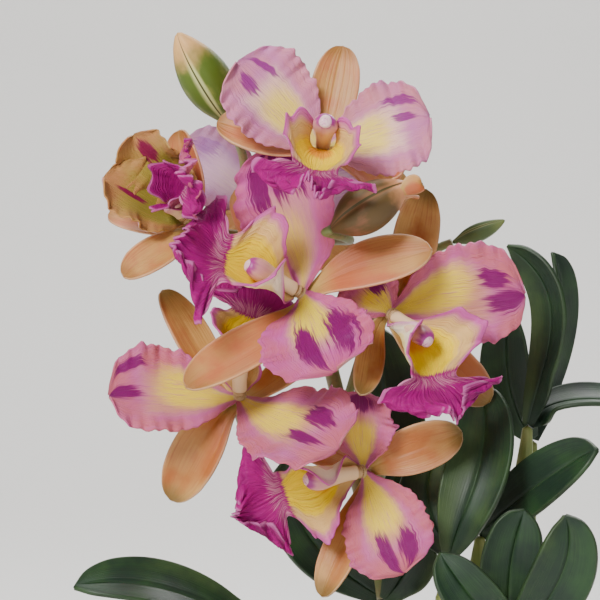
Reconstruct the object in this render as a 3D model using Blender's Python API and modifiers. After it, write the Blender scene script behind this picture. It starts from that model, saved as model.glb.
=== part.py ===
"""A cattleya orchid in its pot: a spray of blooms and buds on one flower stem, strap leaves on canes,
and bark in a clay pot. Metres, +Z up, with the origin at the middle of the pot's underside."""

import math
import random

import bmesh
import bpy
from mathutils import Matrix, Vector

MM = 0.001
GAP = 0.3

# Places in the spray are given in millimetres to the right, up and back from its middle, as they are
# seen from the front at this distance. The middle itself is given from the origin.
VIEW_DISTANCE = 900.0
SPRAY_MIDDLE = Vector((-44.0, -30.0, 310.0))

POT_HEIGHT = 104.0
POT_TOP_RADIUS = 66.0
POT_FOOT_RADIUS = 47.0
POT_WALL = 5.0
RIM_HEIGHT = 20.0
RIM_STEP = 4.0
DRAIN_RADIUS = 5.0
DRAIN_CIRCLE = 24.0
BARK_TOP = 92.0

SEPAL_THICK = 0.9
PETAL_THICK = 0.7
LIP_THICK = 0.7
LEAF_THICK = 1.8

SECTION_STEPS = 8
ROOT_SHARE = 0.3
SEAT_RADIUS = 3.2
SEAT_THICK = 2.0
COLUMN_LENGTH = 25.0
LIP_SETBACK = 1.6

# Half widths along a blade, as shares of its widest place, from the root at 0 to the tip at 1.
SEPAL_OUTLINE = ((0, 0.26), (0.15, 0.5), (0.4, 0.9), (0.6, 1.0), (0.8, 0.88), (0.93, 0.58), (1, 0.14))
PETAL_OUTLINE = (
    (0, 0.13), (0.12, 0.32), (0.35, 0.78), (0.55, 0.97), (0.7, 1.0), (0.83, 0.9), (0.93, 0.68), (1, 0.32),
)  # fmt: skip
LIP_OUTLINE = (
    (0, 0.12), (0.1, 0.32), (0.2, 0.54), (0.3, 0.86), (0.4, 1.0), (0.49, 0.88), (0.57, 0.46),
    (0.64, 0.36), (0.72, 0.62), (0.82, 0.94), (0.92, 0.96), (1, 0.72),
)  # fmt: skip
LEAF_OUTLINE = ((0, 0.24), (0.12, 0.5), (0.35, 0.9), (0.6, 1.0), (0.82, 0.82), (0.94, 0.48), (1, 0.14))

# How far each edge is turned up towards the face, in radians, along the blade.
LIP_CURL = (
    (0, 1.6), (0.1, 3.0), (0.2, 3.5), (0.3, 3.2), (0.42, 2.6), (0.54, 1.7), (0.64, 0.6), (0.76, 0.0), (1, -0.6),
)  # fmt: skip
EVEN = ((0, 1.0), (1, 1.0))

# How much the outer part of each half turns back again.
LIP_FLARE = ((0, 0.1), (0.14, 0.15), (0.3, 0.5), (0.45, 0.62), (1, 0.5))
NONE = ((0, 0.0), (1, 0.0))

# How strongly an edge waves, along the blade.
PETAL_WAVING = ((0, 0.0), (0.25, 0.15), (0.6, 0.8), (1, 1.0))
LIP_WAVING = ((0, 0.0), (0.3, 0.05), (0.5, 0.45), (0.62, 0.3), (0.75, 0.8), (1, 1.0))

SALMON = (0.72, 0.33, 0.16)
PINK = (0.75, 0.28, 0.45)
MAGENTA = (0.42, 0.0, 0.22)
CREAM = (0.8, 0.55, 0.45)
OLIVE = (0.28, 0.3, 0.06)
LEAF_GREEN = (0.05, 0.13, 0.03)
CANE_GREEN = (0.18, 0.24, 0.06)
ROOT_GREY = (0.42, 0.42, 0.36)
BARK_BROWN = (0.12, 0.06, 0.03)
CLAY = (0.5, 0.2, 0.1)


def seen(right, up, back):
    """The point that appears this far right of and above the spray's middle, at a depth behind it."""
    spread = 1 + back / VIEW_DISTANCE
    return SPRAY_MIDDLE + Vector((right * spread, back, up * spread))


def along(table, s):
    """A smooth curve through a table of (place, value)."""
    last = len(table) - 1
    i = max(k for k in range(last) if table[k][0] <= s or k == 0)

    def slope(k):
        before, after = table[max(k - 1, 0)], table[min(k + 1, last)]
        return (after[1] - before[1]) / (after[0] - before[0])

    (s0, v0), (s1, v1) = table[i], table[i + 1]
    span = s1 - s0
    x = (s - s0) / span
    return (
        v0 * (1 + 2 * x) * (1 - x) ** 2
        + slope(i) * span * x * (1 - x) ** 2
        + v1 * x * x * (3 - 2 * x)
        + slope(i + 1) * span * x * x * (x - 1)
    )


def bezier(points, s):
    """Place and direction on a cubic Bezier curve."""
    a, b, c, d = points
    r = 1 - s
    place = a * r**3 + b * 3 * r * r * s + c * 3 * r * s * s + d * s**3
    heading = (b - a) * r * r + (c - b) * 2 * r * s + (d - c) * s * s
    return place, heading.normalized()


def material(name, colour, roughness):
    made = bpy.data.materials.get(name)
    if made is None:
        made = bpy.data.materials.new(name)
        made.use_nodes = True
        shader = made.node_tree.nodes["Principled BSDF"]
        shader.inputs["Base Color"].default_value = (*colour, 1)
        shader.inputs["Roughness"].default_value = roughness
        shader.inputs["Metallic"].default_value = 0.0
    return made


def add_object(name, mesh, collection):
    made = bpy.data.objects.new(name, mesh)
    collection.objects.link(made)
    return made


def mesh_object(name, shape, collection):
    """An object from a bmesh in millimetres."""
    bmesh.ops.transform(shape, matrix=Matrix.Scale(MM, 4), verts=shape.verts)
    mesh = bpy.data.meshes.new(name)
    shape.to_mesh(mesh)
    shape.free()
    return add_object(name, mesh, collection)


def cross_section(t, half, edge, flare):
    """How far the blade at t lies beside its midrib, and how far it rises over it."""
    across = rise = 0.0
    for k in range(SECTION_STEPS):
        u = abs(t) * (k + 0.5) / SECTION_STEPS
        angle = edge * u * (1 - flare * u * u)
        across += math.cos(angle)
        rise += math.sin(angle)
    step = half * abs(t) / SECTION_STEPS
    return math.copysign(across * step, t), rise * step


def settle(x):
    """Rises smoothly from 0 to 1 while x does."""
    x = min(max(x, 0.0), 1.0)
    return x * x * (3 - 2 * x)


def blade(name, collection, spine, root_face, face, width, outline, thick, cells, curl=0.0, curls=EVEN,
          flare=NONE, lean=0.0, skew=0.0, twist=0.0, wave=0.0, waves=3.0, phase=0.0, waving=PETAL_WAVING,
          fan=0.0, ruffled=False):  # fmt: skip
    """A petal, sepal, lip or leaf: a grid laid along a spine, curled across it and waved at its edges.
    It leaves its root flat in the root's own plane, and turns to its face from there. Lean curls one half more
    than the other, and skew widens it."""
    shape = bmesh.new()
    rows, columns = cells
    bmesh.ops.create_grid(shape, x_segments=rows, y_segments=columns, size=1)
    bmesh.ops.triangulate(shape, faces=shape.faces)
    for vertex in shape.verts:
        s, t = (vertex.co.x + 1) / 2, vertex.co.y
        reach = s - fan * t * t * settle((s - 0.6) / 0.4)
        place, heading = bezier(spine, reach)
        turned = settle(s / ROOT_SHARE)
        side = heading.cross(root_face.lerp(face, turned)).normalized()
        normal = side.cross(heading)
        turn = Matrix.Rotation(twist * s, 3, heading)
        beside = (t > 0) - (t < 0)
        edge = curl * along(curls, s) * turned * (1 + lean * beside)
        half = width / 2 * along(outline, s) * (1 + skew * beside)
        across, rise = cross_section(t, half, edge, along(flare, s))
        around = math.atan2(t, 2 * max(s - 0.55, 0.0) + 0.05) / math.pi
        near_edge = max(t * t, settle((s - 0.75) / 0.25)) if ruffled else t * t
        turns = waves * (around if ruffled else s)
        lag = 1.9 if t < 0 and not ruffled else 0
        rise += wave * along(waving, s) * near_edge * math.sin(2 * math.pi * turns + phase + lag)
        vertex.co = place + turn @ (side * across + normal * rise)
    made = mesh_object(name, shape, collection)
    wall = made.modifiers.new("thickness", "SOLIDIFY")
    wall.thickness = thick * MM
    wall.offset = 0
    return made


def spindle(name, collection, spine, radii, flat=1.0, grooves=0.0, cells=(12, 8), face=Vector((0, 0, 1))):
    """A bud, cane or column: a sphere drawn out along a spine, with three grooves where it is given them."""
    shape = bmesh.new()
    sides, rings = cells
    bmesh.ops.create_uvsphere(shape, u_segments=sides, v_segments=rings, radius=1)
    for vertex in shape.verts:
        s = 0.5 - vertex.co.z / 2
        s = math.acos(1 - 2 * s) / math.pi
        place, heading = bezier(spine, s)
        side = heading.cross(face).normalized()
        normal = side.cross(heading)
        angle = math.atan2(vertex.co.y, vertex.co.x)
        rim = math.hypot(vertex.co.x, vertex.co.y) > 0.01
        radius = along(radii, s) * (1 - grooves * (0.5 + 0.5 * math.cos(3 * angle)) ** 4) if rim else 0
        vertex.co = place + (side * math.cos(angle) + normal * math.sin(angle) * flat) * radius
    return mesh_object(name, shape, collection)


def tube(name, collection, points, radii, sides=1):
    """A stem or root: a curve with a round section whose radius follows the radii."""
    curve = bpy.data.curves.new(name, "CURVE")
    curve.dimensions = "3D"
    curve.bevel_depth = MM
    curve.bevel_resolution = sides
    curve.use_fill_caps = True
    spline = curve.splines.new("POLY")
    spline.points.add(len(points) - 1)
    for control, point, radius in zip(spline.points, points, radii):
        control.co = (*(point * MM), 1)
        control.radius = radius
    made = bpy.data.objects.new(name, curve)
    bpy.context.scene.collection.objects.link(made)
    bpy.context.view_layer.update()
    mesh = bpy.data.meshes.new_from_object(made.evaluated_get(bpy.context.evaluated_depsgraph_get()))
    bpy.data.objects.remove(made)
    shape = bmesh.new()
    shape.from_mesh(mesh)
    bmesh.ops.remove_doubles(shape, verts=shape.verts, dist=0.00001)
    bmesh.ops.triangulate(shape, faces=shape.faces)
    bmesh.ops.recalc_face_normals(shape, faces=shape.faces)
    shape.to_mesh(mesh)
    shape.free()
    return add_object(name, mesh, collection)


def smooth_path(points, steps):
    """A round path through the points, with this many steps between each two."""
    path = []
    for i in range(len(points) - 1):
        before, start = points[max(i - 1, 0)], points[i]
        end, after = points[i + 1], points[min(i + 2, len(points) - 1)]
        lead, follow = (end - before) / 6, (after - start) / 6
        spine = (start, start + lead, end - follow, end)
        path += [bezier(spine, k / steps)[0] for k in range(steps)]
    return path + [points[-1]]


def disc(name, collection, middle, axis, radius, thick, sides=8):
    """A short round seat across an axis."""
    shape = bmesh.new()
    bmesh.ops.create_cone(
        shape, cap_ends=True, cap_tris=True, segments=sides, radius1=radius, radius2=radius, depth=thick
    )
    turn = axis.to_track_quat("Z", "Y").to_matrix().to_4x4()
    bmesh.ops.transform(shape, matrix=Matrix.Translation(middle) @ turn, verts=shape.verts)
    return mesh_object(name, shape, collection)


def evaluated_mesh(made):
    bpy.context.view_layer.update()
    graph = bpy.context.evaluated_depsgraph_get()
    return bpy.data.meshes.new_from_object(made.evaluated_get(graph))


def finish(made, name, looks):
    """Bakes an object's modifiers into one node in the plant's collection."""
    mesh = evaluated_mesh(made)
    mesh.name = name
    bpy.data.objects.remove(made)
    mesh.materials.clear()
    mesh.materials.append(looks)
    mesh.shade_smooth()
    mesh.set_sharp_from_angle(angle=math.radians(50))
    return add_object(name, mesh, PLANT)


def fused(name, looks, trunk, pieces):
    """Joins the pieces to the trunk in one body, and removes them."""
    join = trunk.modifiers.new("join", "BOOLEAN")
    join.operation = "UNION"
    join.operand_type = "COLLECTION"
    join.collection = pieces
    join.solver = "EXACT"
    node = finish(trunk, name, looks)
    for piece in list(pieces.objects):
        bpy.data.objects.remove(piece)
    return node


def clear_scene():
    for made in list(bpy.data.objects):
        bpy.data.objects.remove(made)


def new_collection(name, hidden=False):
    made = bpy.data.collections.new(name)
    bpy.context.scene.collection.children.link(made)
    made.hide_render = hidden
    return made


clear_scene()
PLANT = new_collection("cattleya_orchid")
PIECES = new_collection("pieces_to_join", hidden=True)


# The blooms

class Bloom:
    """One flower. Its three seats lie one on the other along the way it faces, and carry the sepals,
    the petals, and the lip with the column."""

    def __init__(self, name, middle, facing, lip_up):
        self.name = name
        self.middle = seen(*middle)
        self.facing = Vector(facing).normalized()
        self.lip_up = Vector(lip_up).normalized()
        self.level_up = (self.lip_up - self.facing * self.lip_up.dot(self.facing)).normalized()

    def seat(self, layer):
        return self.middle + self.facing * layer * (SEAT_THICK + GAP)

    def stem_end(self):
        return self.middle - self.facing * (SEAT_THICK / 2 + GAP)

    def spine(self, layer, tip, face, bow, start=1.0, leave=0.3):
        """Leaves the seat sideways in its own layer, and then turns to the tip."""
        seat = self.seat(layer)
        reach = tip - seat
        sideways = (reach - self.facing * reach.dot(self.facing)).normalized()
        root = seat + sideways * start
        length = (tip - root).length
        normal = (face - reach * face.dot(reach) / reach.length_squared).normalized()
        return (
            root,
            root + sideways * length * leave,
            root + (tip - root) * 0.66 + normal * bow,
            tip,
        )

    def whorl(self, kind, layer, looks, organs):
        """The sepals or the petals of the bloom, joined at their seat."""
        for i, organ in enumerate(organs):
            organ = dict(organ)
            tip = seen(*organ.pop("tip"))
            face = Vector(organ.pop("face", self.facing)).normalized()
            bow = organ.pop("bow", 2.0)
            leave = organ.pop("leave", 0.3)
            spine = self.spine(layer, tip, face, bow, leave=leave)
            blade(f"{kind}_{i}", PIECES, spine, self.facing, face, **organ)
        trunk = disc("seat", PLANT, self.seat(layer), self.facing, SEAT_RADIUS, SEAT_THICK)
        return fused(f"{self.name}_{kind}", looks, trunk, PIECES)


def sepal(tip, width=20.0, curl=0.35, **more):
    return {"tip": tip, "width": width, "curl": curl, "outline": SEPAL_OUTLINE, "thick": SEPAL_THICK,
            "cells": (5, 4), "wave": 0.0, **more}  # fmt: skip


def petal(tip, width=37.0, curl=0.25, wave=1.8, **more):
    return {"tip": tip, "width": width, "curl": curl, "outline": PETAL_OUTLINE, "thick": PETAL_THICK,
            "cells": (8, 4), "wave": wave, **more}  # fmt: skip


def lip(bloom, tip, width=46.0, curl=1.0, wave=2.2, drop=6.0, bow=-3.0, phase=0.0, lean=0.0, skew=0.0):
    """The lip rolls round the column in a tube, narrows, and opens in a waved front lobe."""
    up = bloom.lip_up
    seat = bloom.seat(2)
    tip = seen(*tip)
    root = seat - bloom.level_up * LIP_SETBACK
    reach = tip - root
    throat = root + bloom.facing * reach.length * 0.3 - bloom.level_up * drop
    shoulder = root + reach * 0.62 - up * drop * 0.4 + up * bow
    spine = (root, throat, shoulder, tip)
    blade("lip", PIECES, spine, bloom.level_up, up, width, LIP_OUTLINE, LIP_THICK, (13, 8), curl=curl,
          curls=LIP_CURL, flare=LIP_FLARE, lean=lean, skew=skew, wave=wave, phase=phase, waving=LIP_WAVING,
          fan=0.16, ruffled=True)  # fmt: skip
    trunk = disc("seat", PLANT, seat, bloom.facing, SEAT_RADIUS, SEAT_THICK)
    fused(f"{bloom.name}_lip", material("lip", MAGENTA, 0.5), trunk, PIECES)


def column(bloom, length):
    """The column stands on the innermost seat, inside the rolled lip."""
    foot = bloom.seat(2) + bloom.facing * (SEAT_THICK / 2 + GAP)
    end = foot + bloom.facing * length - bloom.level_up * 1.5
    spine = (foot, foot + bloom.facing * length * 0.35, end - bloom.facing * length * 0.3 + bloom.level_up, end)
    radii = ((0, 1.2), (0.1, 2.2), (0.45, 2.4), (0.75, 3.4), (0.9, 2.6), (1, 1.0))
    made = spindle("column", PIECES, spine, radii, flat=0.85, cells=(8, 6), face=bloom.level_up)
    finish(made, f"{bloom.name}_column", material("column", CREAM, 0.45))


def make_bloom(bloom, sepals, petals, lip_shape, column_length=COLUMN_LENGTH):
    bloom.whorl("sepals", 0, material("sepal", SALMON, 0.5), sepals)
    bloom.whorl("petals", 1, material("petal", PINK, 0.55), petals)
    lip(bloom, **lip_shape)
    column(bloom, column_length)


BLOOMS = {
    "bloom_top": Bloom("bloom_top", (8.8, 59.2, 14), (0.05, -0.9, 0.4), (0.2, 0.35, 0.9)),
    "bloom_left": Bloom("bloom_left", (-43.2, 31.2, 26), (-0.7, -0.5, 0.5), (-0.75, -0.6, 0.1)),
    "bloom_centre": Bloom("bloom_centre", (2.4, 1.6, 20), (-0.72, -0.5, 0.42), (0.45, -0.78, 0.35)),
    "bloom_right": Bloom("bloom_right", (35.2, -4.8, 20), (0.5, -0.8, -0.33), (0.25, -0.7, 0.6)),
    "bloom_low_left": Bloom("bloom_low_left", (-24, -40.8, 32), (0, -0.58, 0.81), (0, -0.95, -0.3)),
    "bloom_bottom": Bloom("bloom_bottom", (27.2, -68, 22), (-0.8, -0.58, -0.1), (0.38, -0.9, -0.18)),
    "bloom_back": Bloom("bloom_back", (-14, 38, 62), (-0.45, 0.8, 0.4), (0.3, 0.1, 0.9)),
}


def make_blooms():
    make_bloom(
        BLOOMS["bloom_top"],
        [
            sepal((17.2, 101.6, 26)),
            sepal((-33.2, 71.2, 20), width=19, face=(0.1, -0.9, 0.3)),
            sepal((46, 38, 44), width=19),
        ],
        [
            petal((-25.2, 95.2, 8), width=40, face=(0.25, -0.95, 0.15)),
            petal((52, 72.8, 8), width=40, wave=2.4, face=(-0.1, -0.95, 0.25), phase=1.0),
        ],
        {"tip": (4, 46, -30), "width": 50, "curl": 0.85, "phase": 0.5},
    )
    make_bloom(
        BLOOMS["bloom_left"],
        [
            sepal((-48, 68, 28), width=19, curl=0.6, face=(-0.6, -0.8, 0)),
            sepal((-76.8, 34, 34), width=15),
            sepal((-70.4, 9, 14), width=18, face=(0, -0.7, 0.7)),
        ],
        [
            petal((-66.8, 66, 18), width=30, curl=0.7, face=(0.2, -0.6, -0.8)),
            petal((-79, 48, 17), width=30, curl=0.7, face=(0.5, -0.8, 0.3)),
        ],
        {"tip": (-46, 54, -12), "width": 34, "drop": 8, "wave": 3.0},
        column_length=7.0,
    )
    make_bloom(
        BLOOMS["bloom_centre"],
        [
            sepal((52.8, 20, 5), width=24, face=(-0.2, -0.8, 0.55), leave=0.4),
            sepal((-45.6, -35.2, 0), width=22, face=(-0.1, -0.8, 0.6)),
            sepal((-26, 44, 40), width=20),
        ],
        [
            petal((-12, 60, 22), width=42, wave=2.6, face=(-0.35, -0.93, 0)),
            petal((14, -28.8, -14), width=47, wave=2.6, skew=0.08, face=(-0.2, -0.75, 0.6)),
        ],
        {"tip": (-49.6, 26, -10), "width": 60, "curl": 0.8, "lean": -0.22},
    )
    make_bloom(
        BLOOMS["bloom_right"],
        [
            sepal((50.5, 44.4, 35), face=(0.2, -0.95, -0.1)),
            sepal((76, -40.8, 28), width=21, face=(0.3, -0.9, -0.3)),
            sepal((24, -38, -2), width=13, face=(0.7, -0.7, 0), twist=0.8),
        ],
        [
            petal((90, 2, 12), width=42, skew=-0.15, face=(0.1, -0.95, -0.15)),
            petal((21, 9.5, 21), width=32, face=(-0.55, -0.8, 0.2)),
        ],
        {"tip": (62, -47, -18), "width": 56, "curl": 0.75, "lean": 0.3, "skew": -0.15},
    )
    make_bloom(
        BLOOMS["bloom_low_left"],
        [
            sepal((-52, -80, 34), width=22, face=(0, -0.9, 0.4)),
            sepal((-55.2, 4, 42), width=18),
            sepal((14, -14, 46), width=18),
        ],
        [
            petal((-76.4, -38.8, 12), width=38, skew=0.2, face=(0.1, -0.9, 0.4)),
            petal((15, -60, -17), width=46, wave=2.4, face=(0.1, -0.85, 0.5), bow=5),
        ],
        {"tip": (-14, 12, 42), "width": 52, "curl": 0.85, "drop": 9},
    )
    make_bloom(
        BLOOMS["bloom_bottom"],
        [
            sepal((8.8, -118.8, 18), width=17, face=(-0.5, -0.85, 0)),
            sepal((64.8, -52.8, 14), width=20, face=(-0.3, -0.9, -0.1)),
            sepal((-8, -50, 46), width=18),
        ],
        [
            petal((42, -109.2, 2), width=38, face=(-0.3, -0.93, 0.1)),
            petal((24, -37, 16), width=36, wave=2.6, face=(-0.55, -0.8, 0)),
        ],
        {"tip": (-27, -86, 7), "width": 56, "curl": 0.8, "lean": 0.25},
    )
    make_bloom(
        BLOOMS["bloom_back"],
        [
            sepal((-2, 86, 53), width=18),
            sepal((-54, 18, 74), width=19),
            sepal((28, 8, 88), width=19),
        ],
        [
            petal((-48, 62, 68), width=34),
            petal((32, 52, 90), width=34),
        ],
        {"tip": (-24, 34, 104), "width": 46, "drop": 4.5},
    )


# Buds

BUD_RADII = ((0, 1.6), (0.08, 3.2), (0.3, 8.2), (0.5, 9.8), (0.7, 8.4), (0.88, 4.8), (1, 1.0))
BUDS = {
    "bud_green": (((-27, 69, 34), (-32, 82, 28), (-42, 94, 18), (-49, 107, 12)), 1.0),
    "bud_opening": (((13, 28.5, 4), (20, 32, -2), (32, 40, -2), (43, 46.5, 4)), 0.95),
    "bud_young": (((61, 23, 70), (67, 25, 68), (75, 28, 66), (82, 32, 64)), 0.42),
}


def make_buds():
    for name, (spine, share) in BUDS.items():
        radii = [(s, radius * share) for s, radius in BUD_RADII]
        made = spindle(name, PIECES, [seen(*p) for p in spine], radii, grooves=0.16, face=Vector((0, -1, 0.2)))
        finish(made, name, material("bud", OLIVE, 0.45))


# The flower stem, which carries every bloom and bud

STEM_PATH = (
    (34, -119.3, 50), (31, -100, 54), (26, -84, 58), (17, -46, 63), (8, -12, 60), (-2, 14, 54), (-10, 28, 48),
)  # fmt: skip
STEM_RADII = (3.6, 2.9)
PEDICELS = {
    # Each leaves the stem at a share of its length, and bends through these points on its way.
    "bloom_bottom": (0.22, ((32, -72, 40),)),
    "bloom_low_left": (0.42, ((0, -44, 50),)),
    "bloom_right": (0.5, ((26, -16, 46),)),
    "bloom_centre": (0.66, ((12, -6, 44),)),
    "bloom_left": (0.88, ((-24, 26, 42),)),
    "bloom_top": (0.94, ((2, 44, 44),)),
    "bloom_back": (0.97, ((-10, 32, 50),)),
}
BUD_STALKS = {
    "bud_green": (1.0, ((-20, 42, 46), (-23, 58, 42))),
    "bud_opening": (0.75, ((8, 22, 46), (20, 24, 24))),
    "bud_young": (0.62, ((26, 2, 66), (46, 16, 72))),
}
OVARY_RADIUS = 2.6
PEDICEL_RADIUS = 1.9
OVARY_LENGTH = 9.0
BUD_NECK = 4.0


def tapering(count, first, last):
    return [first + (last - first) * k / (count - 1) for k in range(count)]


def make_flower_stem():
    path = smooth_path([seen(*p) for p in STEM_PATH], 3)
    trunk = tube("stem", PLANT, path, tapering(len(path), *STEM_RADII))
    for name, (share, through) in PEDICELS.items():
        bloom = BLOOMS[name]
        start = path[round(share * (len(path) - 1))]
        end = bloom.stem_end()
        neck = end - bloom.facing * OVARY_LENGTH
        route = smooth_path([start, *[seen(*p) for p in through], neck], 2) + [end]
        radii = [PEDICEL_RADIUS] * (len(route) - 2) + [OVARY_RADIUS, OVARY_RADIUS]
        tube("pedicel", PIECES, route, radii)
    for name, (start, through) in BUD_STALKS.items():
        spine = [seen(*p) for p in BUDS[name][0]]
        way = (spine[1] - spine[0]).normalized()
        start = path[round(start * (len(path) - 1))]
        neck, end = spine[0] - way * BUD_NECK, spine[0] - way * GAP
        route = smooth_path([start, *[seen(*p) for p in through], neck], 2) + [end]
        tube("pedicel", PIECES, route, [PEDICEL_RADIUS] * len(route))
    fused("flower_stem", material("stem", CANE_GREEN, 0.5), trunk, PIECES)


# Canes, leaves, rhizome and roots

CANES = {
    "cane_right": ((34, 8), (91, -50, 60)),
    "cane_far_right": ((40, 28), (93, -56, 96)),
    "cane_middle": ((8, -8), (60, -102, 20)),
    "cane_inner": ((22, 2), (72, -94, 46)),
    "cane_flowering": ((-14, 10), (34, -120, 50)),
    "cane_left": ((-38, 4), (-8, -142, 40)),
    "cane_front": ((36, -26), (84, -139, 10)),
}
LEAVES = {
    # The cane that bears it, its place among that cane's leaves from the back to the front, the places that it
    # bends through and ends at, its width, and the way its upper side turns.
    "leaf_tall": ("cane_right", 0.5, ((98, -24, 50), (113, 4, 46), (82.8, 21.6, 52)), 20, (-0.75, -0.65, 0.1)),
    "leaf_level": ("cane_right", -0.5, ((100, -38, 64), (118, -38, 60), (146, -44, 66)), 24, (0, -0.35, 0.94)),
    "leaf_far": ("cane_far_right", -0.5, ((100, -26, 102), (110, 0, 96), (101, 19, 90)), 24, (0.85, -0.5, 0)),
    "leaf_shade": ("cane_far_right", 0.5, ((84, -44, 90), (80, -26, 88), (84, -4, 84)), 24, (-0.4, -0.9, 0)),
    "leaf_middle": ("cane_middle", 0.5, ((64, -84, 10), (80, -60, 18), (72, -34, 38)), 28, (-0.3, -0.9, 0.3)),
    "leaf_inner": ("cane_middle", -0.5, ((52, -88, 32), (46, -76, 40), (56, -62, 48)), 24, (-0.2, -0.95, 0.2)),
    "leaf_right": ("cane_inner", 0, ((84, -82, 32), (104, -66, 14), (119, -60, 4)), 25, (0.3, -0.75, 0.55)),
    "leaf_low": ("cane_flowering", -2.3, ((10, -106, 62), (-4, -92, 62), (-6, -64, 60)), 25, (0, -0.98, 0.1)),
    "leaf_under": ("cane_flowering", 2.3, ((44, -108, 38), (46, -102, 36), (40, -90, 40)), 24, (0, -0.9, 0.3)),
    "leaf_behind": ("cane_flowering", -3.7, ((42, -80, 86), (36, -40, 92), (30, -10, 88)), 31, (0, -0.98, 0.1)),
    "leaf_left": ("cane_left", 0, ((-30, -122, 20), (-60, -108, 2), (-90.4, -115, -6)), 27, (0.2, -0.6, 0.75)),
    "leaf_blunt": ("cane_front", -1, ((82, -120, 12), (84, -98, 4), (90, -84, 6)), 25, (-0.1, -0.98, 0)),
    "leaf_pale": ("cane_front", 0, ((97, -124, 2), (113, -106, -6), (106, -86, -4)), 26, (0, -0.98, 0)),
    "leaf_corner": ("cane_front", 1.4, ((79, -128, -8), (66, -120, -12), (56, -101, -4)), 22, (0.1, -0.98, 0.1)),
}
LEAF_STEP = LEAF_THICK + GAP
CANE_RADII = ((0, 2.6), (0.1, 4.2), (0.4, 6.4), (0.65, 5.6), (0.88, 3.6), (1, 2.0))
RHIZOME_Z = 102.0
RHIZOME_RADIUS = 4.0
FOOT_RADIUS = 4.4
FOOT_HEIGHT = 5.0
RHIZOMES = (
    ("cane_left", "cane_flowering", "cane_middle", "cane_front"),
    ("cane_middle", "cane_inner", "cane_right", "cane_far_right"),
)


def foot_of(name):
    x, y = CANES[name][0]
    return Vector((x, y, RHIZOME_Z))


def cane_spine(name):
    foot = foot_of(name) + Vector((0, 0, FOOT_HEIGHT + RHIZOME_RADIUS + GAP))
    end = seen(*CANES[name][1])
    rise = (end - foot).length / 3
    lean = (end - foot).normalized()
    return foot, foot + Vector((0, 0, rise)), end - (lean + Vector((0, 0, 1))).normalized() * rise, end


def make_canes():
    for name in CANES:
        made = spindle(name, PIECES, cane_spine(name), CANE_RADII, cells=(8, 7), face=Vector((0, -1, 0)))
        finish(made, name, material("cane", CANE_GREEN, 0.5))


def make_leaves():
    for name, (cane, place, bends, width, face) in LEAVES.items():
        top, lean = bezier(cane_spine(cane), 1.0)
        front = (Vector((0, -1, 0)) + lean * lean.y).normalized()
        root = top + lean * (GAP + 0.1) + front * place * LEAF_STEP
        spine = (root, *[seen(*p) for p in bends])
        made = blade(name, PIECES, spine, front, Vector(face).normalized(), width, LEAF_OUTLINE, LEAF_THICK,
                     (7, 4), curl=0.55)  # fmt: skip
        finish(made, name, material("leaf", LEAF_GREEN, 0.4))


def make_rhizome():
    trunk = None
    for branch in RHIZOMES:
        path = smooth_path([foot_of(name) for name in branch], 3)
        made = tube("rhizome", PLANT if trunk is None else PIECES, path, [RHIZOME_RADIUS] * len(path))
        trunk = trunk or made
    for name in CANES:
        middle = foot_of(name) + Vector((0, 0, (FOOT_HEIGHT + RHIZOME_RADIUS) / 2))
        disc("foot", PIECES, middle, Vector((0, 0, 1)), FOOT_RADIUS, FOOT_HEIGHT + RHIZOME_RADIUS)
    fused("rhizome", material("cane", CANE_GREEN, 0.5), trunk, PIECES)


# Pot, bark and roots

BARK_SIDE_GAP = 0.4
CHIP_COUNT = 32
CHIP_TOP = RHIZOME_Z - RHIZOME_RADIUS - GAP
ROOT_RADIUS = 1.5
ROOTS = {
    "root_left": ((-39, -0.5, 99.8), (-44, -8, 99.6), (-46, -18, 99.8), (-38, -30, 99.6)),
    "root_front": ((8, -12.6, 99.8), (4, -24, 99.6), (12, -36, 99.8), (14, -48, 99.6)),
    "root_over": (
        (41, -26, 100.5), (46, -27, 103.5), (51, -28, 107.6), (58, -29, 108.6),
        (64, -29, 105), (66, -28, 92), (65, -27, 78),
    ),
}


def inner_radius(height):
    return POT_FOOT_RADIUS + (POT_TOP_RADIUS - RIM_STEP - POT_FOOT_RADIUS) * height / POT_HEIGHT - POT_WALL


def make_pot():
    step = POT_HEIGHT - RIM_HEIGHT
    wall = POT_FOOT_RADIUS + (POT_TOP_RADIUS - RIM_STEP - POT_FOOT_RADIUS) * step / POT_HEIGHT
    profile = (
        (0, POT_WALL),
        (inner_radius(POT_WALL), POT_WALL),
        (inner_radius(POT_HEIGHT), POT_HEIGHT),
        (POT_TOP_RADIUS - 1, POT_HEIGHT),
        (POT_TOP_RADIUS, POT_HEIGHT - 1),
        (POT_TOP_RADIUS - 1.5, step + 0.6),
        (POT_TOP_RADIUS - 2.2, step),
        (wall, step),
        (POT_FOOT_RADIUS + 0.5, 1),
        (POT_FOOT_RADIUS - 1, 0),
        (0, 0),
    )
    shape = bmesh.new()
    line = [shape.verts.new(Vector((radius, 0, height))) for radius, height in profile]
    for a, b in zip(line, line[1:]):
        shape.edges.new((a, b))
    pot = mesh_object("pot", shape, PLANT)
    turn = pot.modifiers.new("turn", "SCREW")
    turn.steps = 32
    turn.render_steps = 32
    turn.use_merge_vertices = True
    turn.merge_threshold = 0.00001
    turn.use_normal_calculate = True
    drains = pot.modifiers.new("drains", "BOOLEAN")
    drains.operation = "DIFFERENCE"
    drains.operand_type = "COLLECTION"
    drains.collection = PIECES
    for k in range(3):
        angle = math.radians(90 + 120 * k)
        middle = Vector((math.cos(angle) * DRAIN_CIRCLE, math.sin(angle) * DRAIN_CIRCLE, POT_WALL / 2))
        disc("drain", PIECES, middle, Vector((0, 0, 1)), DRAIN_RADIUS, POT_WALL * 2, sides=14)
    finish(pot, "pot", material("clay", CLAY, 0.9))
    for cutter in list(PIECES.objects):
        bpy.data.objects.remove(cutter)


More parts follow.
